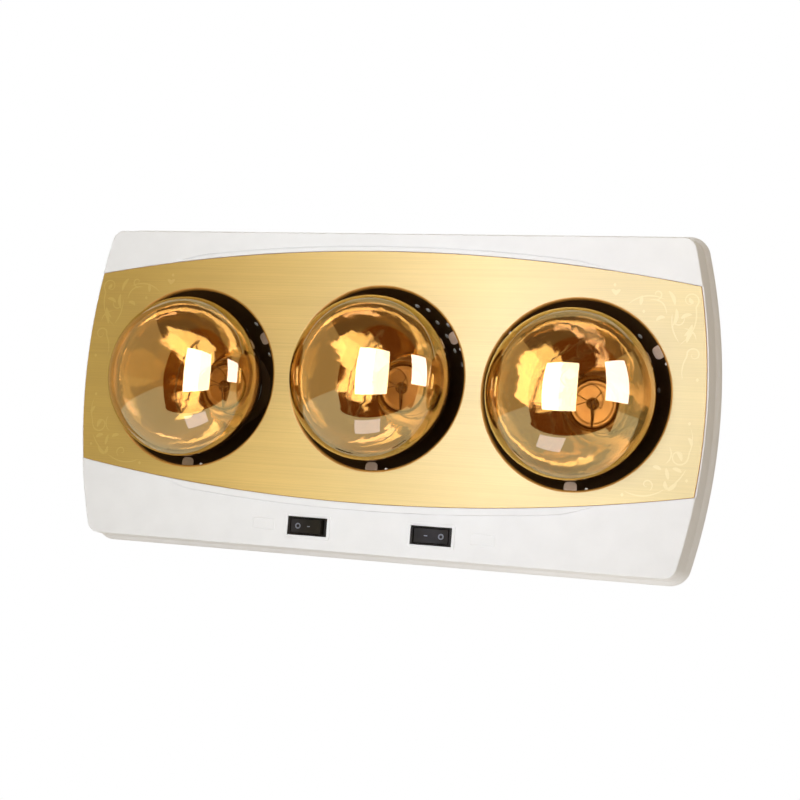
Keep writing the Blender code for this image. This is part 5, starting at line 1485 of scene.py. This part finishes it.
for name, (_, off_side) in SWITCHES.items():
    turns = [math.tau * step / 28 for step in range(28)]
    outer, inner = ([(off_side * RING_MARK_PLACE + radius * math.cos(a), radius * math.sin(a)) for a in turns]
                    for radius in (RING_MARK_OUTER, RING_MARK_INNER))
    ring_mark = printed("ring_mark", [(outer, -MARK_LIFT), (outer, MARK_LIFT), (inner, MARK_LIFT),
                                      (inner, -MARK_LIFT)], False)
    dash = [(x - off_side * DASH_PLACES[name], z) for x, z in round_box(*DASH_SIZE)]
    dash_mark = printed("dash_mark", [(dash, -MARK_LIFT), (dash, MARK_LIFT)], True)
    marks = set_on_pivot(gathered(f"rocker_marks_{name}", [ring_mark, dash_mark]), name)
    fit_out(marks, f"rocker_{name}", "black_plastic")

# %% [markdown]
# ## Cable gland
# The cable leaves through a gland in the bottom wall. It has a hexagonal nut inside, a hexagonal body
# outside and a ribbed cap with a tapered end. It is lofted through rings of 48 points, whose radius
# changes with the angle for the flats and the ribs, and is then turned to point down.

# %% Gland
GLAND_PLACE = (0.190, -0.049, 0.0)
GLAND_NUT = 0.0090
GLAND_NECK = 0.0060
GLAND_CAP = 0.0070
GLAND_BORE = 0.0035
RING_POINTS = 48


def shaped_ring(depth, radius, flats=0.0, ribs=0.0):
    """A ring about the Y axis. Flats make it a hexagon, and ribs ripple it."""
    points = []
    for step in range(RING_POINTS):
        angle = math.tau * step / RING_POINTS
        within = (angle + math.pi / 6) % (math.pi / 3) - math.pi / 6
        hexagon = math.cos(math.pi / 6) / math.cos(math.pi / 6 - abs(within))
        on_rib = step % 4 < 2
        reach = radius * (1 + flats * (hexagon - 1)) * (1 - ribs * on_rib)
        points.append((reach * math.cos(angle), depth, reach * math.sin(angle)))
    return points


GLAND_RINGS = (
    (0.1102, GLAND_NUT * 0.92, 0.6), (0.1107, GLAND_NUT, 1.0), (0.1152, GLAND_NUT, 1.0), (0.1152, GLAND_NECK),
    (0.1168, GLAND_NECK), (0.1168, GLAND_NUT, 1.0), (0.1212, GLAND_NUT, 1.0), (0.1218, GLAND_NUT * 0.92, 0.6),
    (0.1218, GLAND_CAP, 0.0, 0.05), (0.1246, GLAND_CAP * 0.97, 0.0, 0.05),
    (0.1260, GLAND_CAP * 0.86, 0.0, 0.02), (0.1268, GLAND_CAP * 0.74), (0.1268, GLAND_BORE),
    (0.1102, GLAND_BORE),
)
gland = new_piece("gland_with_nut", lofted([shaped_ring(*row) for row in GLAND_RINGS], False), black_plastic)
gland.data.transform(Matrix.Translation(GLAND_PLACE) @ Matrix.Rotation(-math.pi / 2, 4, "X"))
fit_out(gland, "housing", "black_plastic", "cable_gland")

# %% [markdown]
# ## Cover screws
# Four screws hold the cover to the housing from behind. Each has a pan head with a cross recess and a
# coarse thread. One screw is turned and carved, and the row tree sets two along the top and two along
# the bottom.

# %% Screws
HEAD_RADIUS = 0.0034
HEAD_HEIGHT = 0.0022
HEAD_FLAT = 0.35
SCREW_SEAT = -0.0959
THREAD_START = 0.0006
THREAD_PITCH = 0.0009
THREAD_DEPTH = 0.0003
THREAD_TURNS = 8
RECESS_LONG, RECESS_SHORT = 0.0032, 0.0006


def screw_profile():
    """The screw (radius, depth), from the middle of its head to its point."""
    points = [(HEAD_RADIUS * math.sin(a), HEAD_HEIGHT * (HEAD_FLAT + (1 - HEAD_FLAT) * math.cos(a)))
              for a in quarter_turn(6)]
    points += [(HEAD_RADIUS, 0.0), (SCREW_RADIUS, 0.0)]
    for index in range(THREAD_TURNS):
        start = -THREAD_START - THREAD_PITCH * index
        points += [(SCREW_RADIUS - THREAD_DEPTH, start), (SCREW_RADIUS, start - THREAD_PITCH / 2)]
    return points + [(SCREW_RADIUS * 0.6, 0.0008 - SCREW_LENGTH), (0.0, 0.0003 - SCREW_LENGTH)]


def made_screw():
    screw = new_piece("screw", turned(screw_profile(), 32, closed=False), bright_steel)
    bars = []
    for wide, tall in ((RECESS_LONG, RECESS_SHORT), (RECESS_SHORT, RECESS_LONG)):
        recess = bar((-wide / 2, HEAD_HEIGHT * HEAD_FLAT, -tall / 2), (wide / 2, HEAD_HEIGHT * 1.5, tall / 2))
        bars.append(new_piece("recess_bar", recess, bright_steel))
    return calm_normals(carve(screw, bars))


rows = [repeated(made_screw(), ROW, bright_steel, Count=2, Start=(-BOSS_PLACE, SCREW_SEAT, height),
                 Step=(2 * BOSS_PLACE, 0.0, 0.0)) for height in boss_heights]
screws = [f"cover_screw_{number}" for number in range(1, 5)]
fit_out(gathered("cover_screws", rows), "housing", "bright_steel", *screws)

# %% [markdown]
# ## Camera
# The camera stands a little to the right of the lamp and below it, as in the photograph, and is tilted
# slightly, so the lamp leans in the picture. Its place and turn come from the round holes, whose images
# are ellipses, and from the straight edges of the front.

# %% Camera
camera = linked("camera", bpy.data.cameras.new("camera"))
camera.data.lens = 72.84
camera.data.clip_start = 0.01
camera.location = (0.4288, -1.2557, -0.1031)
camera.rotation_euler = (math.radians(94.430), math.radians(-4.361), math.radians(19.487))
bpy.context.scene.camera = camera
bpy.context.scene.view_settings.view_transform = "Standard"
print("metres from the camera to the lamp's face:", round(-FACE_DEPTH - camera.location.y, 3))

# %% [markdown]
# ## Lights
# Two soft boxes light the front. The three bulbs are mirrors, so each shows both boxes, and lines drawn
# back from those images cross where the boxes stood: a large one in front and a smaller one off to the
# right. Three weak fill lights open up the bottom edge, the top and the back. All are hidden from the
# camera, and only the front box is left visible in mirrors, because a bright card shows the other one.


# %% Soft boxes
def soft_box(name, place, aim, size, power, colour, mirrored=False):
    """A rectangular area light that faces a point and that the camera doesn't see."""
    lamp = bpy.data.lights.new(name, "AREA")
    lamp.color = colour
    lamp.shape = "RECTANGLE"
    lamp.size, lamp.size_y = size
    lamp.energy = power
    item = linked(name, lamp)
    item.location = place
    item.rotation_euler = (Vector(aim) - Vector(place)).to_track_quat("-Z", "Y").to_euler()
    item.visible_camera = False
    item.visible_glossy = mirrored
    item.visible_transmission = mirrored


soft_box("front_soft_box", (0.025, -0.775, 0.085), (0.025, 0.0, 0.085), (0.37, 0.51), 3.15,
         (0.88, 0.94, 1.0), mirrored=True)
soft_box("right_soft_box", (0.40, -0.38, 0.125), (0.0, -0.38, 0.125), (0.28, 0.31), 0.17, (1.0, 0.74, 0.42))
soft_box("low_fill", (0.19, -0.13, -0.34), (0.19, -0.13, 0.0), (0.16, 0.10), 0.10, (1.0, 0.97, 0.93))
soft_box("top_fill", (0.0, 0.16, 1.1), (0.0, 0.16, 0.0), (0.9, 0.5), 4.0, (1.0, 0.98, 0.96))
soft_box("back_fill", (0.0, 1.1, 0.5), (0.0, 0.0, 0.0), (0.9, 0.7), 6.5, (1.0, 0.98, 0.96))

# %% [markdown]
# ## Background
# The background is plain white. More light on the object would bleach it, so the world is pure white
# only to what looks at it: the camera, mirrors and glass. What it sheds on the object is a gentle,
# slightly warm light. The floor uses the same helper.


# %% World
def pale_light(tree, strength, tint):
    """Pure white to the camera, to mirrors and through glass, and a weaker tint to everything else."""
    ray = add_node(tree, "ShaderNodeLightPath").outputs
    seen = math_node(tree, "MAXIMUM", ray["Is Camera Ray"],
                     math_node(tree, "MAXIMUM", ray["Is Glossy Ray"], ray["Is Transmission Ray"]))
    return {"Color": blend_colours(tree, seen, tint, (1.0, 1.0, 1.0)),
            "Strength": between(tree, seen, strength, 1.0, 0.0, 1.0)}


world = bpy.data.worlds.new("studio")
world.use_nodes = True
bpy.context.scene.world = world
for label, value in pale_light(world.node_tree, 0.25, (1.0, 0.79, 0.53)).items():
    world.node_tree.links.new(value, world.node_tree.nodes["Background"].inputs[label])
print("nodes of the world:", len(world.node_tree.nodes))

# %% [markdown]
# ## Floor
# The floor is a pale surface well below the lamp, which hangs above it as on its wall. It keeps the
# lamp's shadow near the middle, and further out a glow blends it into the white of the background, so
# that no edge shows. The glow grows with the distance from the origin, between two radii.


# %% Floor
def flat_card(name, corners, finish):
    """A flat face that belongs to the stage and not to the lamp."""
    shape = bmesh.new()
    shape.faces.new([shape.verts.new(corner) for corner in corners])
    item = linked(name, plain_mesh(name, shape, finish))
    print(f"{name}: {len(corners)} corners")
    return item


FLOOR_Z = -0.40
FLOOR_REACH = 12.0
FADE_RADII = (0.36, 0.52)
floor_paint, tree, shader = new_finish("floor_paint", Base_Color=(0.9, 0.9, 0.9, 1.0), Roughness=0.8)
away = add_node(tree, "ShaderNodeVectorMath", {0: object_place(tree)}, operation="LENGTH").outputs["Value"]
white = add_node(tree, "ShaderNodeEmission", pale_light(tree, 0.72, (1.0, 0.93, 0.84)))
blend = add_node(tree, "ShaderNodeMixShader",
                 {0: between(tree, away, 0.0, 1.0, *FADE_RADII), 1: shader.outputs[0], 2: white.outputs[0]})
tree.links.new(blend.outputs[0], tree.nodes["Material Output"].inputs["Surface"])
corners = [(x * FLOOR_REACH, y * FLOOR_REACH, FLOOR_Z) for x, y in ((-1, -1), (1, -1), (1, 1), (-1, 1))]
flat_card("floor", corners, floor_paint)
print("width of the floor in metres:", 2 * FLOOR_REACH)

# %% [markdown]
# ## Cards of the dark room
# Bulbs mirror the whole studio, and without something dark to mirror they would look like white balloons.
# Dark cards in front, at the right and on the floor glow dimly as painted light for the unlit room, with the
# curved limits that the bulbs show, and a small bright card on the floor glows as a painted bounce of light.
# Only mirrors and glass show them.


# %% Dark cards
def glow(name, colour):
    """A flat card's glow, painted light of a fixed colour that doesn't depend on the lights."""
    return new_finish(name, Base_Color=(0.0, 0.0, 0.0, 1.0), Specular_IOR_Level=0.0,
                      Emission_Color=(*colour, 1.0), Emission_Strength=1.0)[0]


def mirror_card(name, corners, finish):
    """A card that only mirrors and glass show."""
    item = flat_card(name, corners, finish)
    item.visible_camera = False
    item.visible_diffuse = False
    item.visible_shadow = False


ROOM_RIGHT, ROOM_FRONT, ROOM_SIDE_END, ROOM_TOP = 0.60, -0.84, -0.50, 1.17
CARD_Z = FLOOR_Z + 0.002
ARCH = ((-0.43, FLOOR_Z), (-0.43, 0.0), (-0.38, 0.35), (-0.30, 0.62), (-0.18, 0.86), (0.0, 1.04),
        (0.2, 1.14), (0.42, 1.18), (ROOM_RIGHT, ROOM_TOP), (ROOM_RIGHT, FLOOR_Z))
SIDE = ((ROOM_FRONT, FLOOR_Z), (ROOM_SIDE_END, FLOOR_Z), (ROOM_SIDE_END, 0.42), (-0.62, 0.72),
        (ROOM_FRONT, ROOM_TOP))
FLOOR_LIMIT = ((-0.43, -0.84), (-0.425, -0.80), (-0.40, -0.755), (-0.35, -0.71), (-0.28, -0.675),
               (-0.18, -0.647), (-0.06, -0.628), (0.10, -0.62), (0.30, -0.62), (0.45, -0.628), (0.60, -0.65),
               (0.60, -0.84))
BOUNCE = ((-0.15, -0.58), (0.12, -0.58), (0.08, -0.36), (-0.12, -0.36))
room_glow = glow("room_glow", (0.19, 0.068, 0.021))
mirror_card("dark_card_front", [(x, ROOM_FRONT, z) for x, z in ARCH], room_glow)
mirror_card("dark_card_right", [(ROOM_RIGHT, y, z) for y, z in SIDE], room_glow)
mirror_card("dark_card_floor", [(x, y, CARD_Z) for x, y in FLOOR_LIMIT], room_glow)
mirror_card("bounce_card", [(x, y, CARD_Z) for x, y in BOUNCE], glow("bounce_glow", (2.0, 2.15, 3.9)))

# %% [markdown]
# ## Bright faces of the soft boxes
# A soft box is brighter to look at than the light it sheds on a matt surface suggests, so a bright card
# stands just behind each one. The front box is brighter on its left half, and the right box has a
# slanted upper edge.


# %% Bright cards
def upright(low, high):
    """Corners of an upright card, from its lowest to its highest corner."""
    return [low, (high[0], high[1], low[2]), high, (low[0], low[1], high[2])]


BOX_Y = -0.777
RIGHT_BOX = ((-0.51, -0.03), (-0.26, -0.03), (-0.26, 0.19), (-0.51, 0.28))
mirror_card("front_box_left", upright((-0.16, BOX_Y, -0.17), (0.03, BOX_Y, 0.34)),
            glow("bright_glow", (3.4, 2.9, 5.2)))
mirror_card("front_box_right", upright((0.03, BOX_Y, -0.17), (0.21, BOX_Y, 0.34)),
            glow("soft_glow", (0.5, 0.8, 2.4)))
mirror_card("right_box_face", [(0.402, y, z) for y, z in RIGHT_BOX], glow("right_glow", (5.0, 5.2, 9.2)))

# %% [markdown]
# ## Far walls
# Pale warm glowing walls far out to the sides, above and behind the lamp's plane stand for the lit studio, as
# painted light that only mirrors and glass show, so the rim of each bulb doesn't mirror pure white. Each wall
# is a row in a table, with its glow, its lowest and its highest corner.

# %% Far walls
WEST, EAST, SOUTH, NORTH, HIGH = -1.3, 1.5, -2.4, 0.02, 1.3
GAP_HALF, GAP_LOW, GAP_HIGH = 0.30, -0.18, 0.17
wall_glow = glow("far_wall_glow", (0.76, 0.60, 0.38))
ceiling_glow = glow("ceiling_glow", (0.22, 0.17, 0.10))
sand_glow = glow("sand_glow", (0.55, 0.40, 0.20))
tan_glow = glow("tan_glow", (0.34, 0.24, 0.11))
pale_glow = glow("pale_glow", (0.72, 0.66, 0.52))
FAR_WALLS = {
    "far_wall_left": (wall_glow, (WEST, SOUTH, FLOOR_Z), (WEST, NORTH, HIGH)),
    "far_wall_right": (wall_glow, (EAST, SOUTH, FLOOR_Z), (EAST, NORTH, HIGH)),
    "far_wall_front": (wall_glow, (WEST, SOUTH, FLOOR_Z), (EAST, SOUTH, HIGH)),
    "behind_left": (sand_glow, (WEST, NORTH, FLOOR_Z), (-GAP_HALF, NORTH, HIGH)),
    "behind_right": (tan_glow, (GAP_HALF, NORTH, FLOOR_Z), (EAST, NORTH, HIGH)),
    "behind_top": (pale_glow, (-GAP_HALF, NORTH, GAP_HIGH), (GAP_HALF, NORTH, HIGH)),
    "behind_bottom": (tan_glow, (-GAP_HALF, NORTH, FLOOR_Z), (GAP_HALF, NORTH, GAP_LOW)),
}
for name, (paint, low, high) in FAR_WALLS.items():
    mirror_card(name, upright(low, high), paint)
ceiling = [(x, y, HIGH) for x, y in ((WEST, SOUTH), (EAST, SOUTH), (EAST, NORTH), (WEST, NORTH))]
mirror_card("far_ceiling", ceiling, ceiling_glow)

# %% [markdown]
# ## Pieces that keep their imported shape
# The caps, holders, housing, bracket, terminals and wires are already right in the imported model. Each
# only gets its finish in its material slot, by the start of its name.

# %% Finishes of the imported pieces
KEPT = (
    (brass, ("lamp_cap", "lamp_contact", "contact_lever", "switch_blade", "earth_screw")),
    (porcelain, ("lampholder", "terminal_block", "thermal_cutout")),
    (bright_steel, ("holder_rail", "wall_bracket")),
    (coated_steel, ("rear_housing",)),
    (brown_sleeve, ("supply_lead", "live_lead", "switch_link", "lamp_lead", "live_link")),
    (blue_sleeve, ("neutral_lead", "neutral_link")),
    (green_sleeve, ("earth_lead",)),
)
for finish, starts in KEPT:
    finished = [item for name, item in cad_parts.items() if name.startswith(starts)]
    for item in finished:
        item.data.materials.clear()
        item.data.materials.append(finish)
    print(f"{finish.name}: {len(finished)} packed pieces")
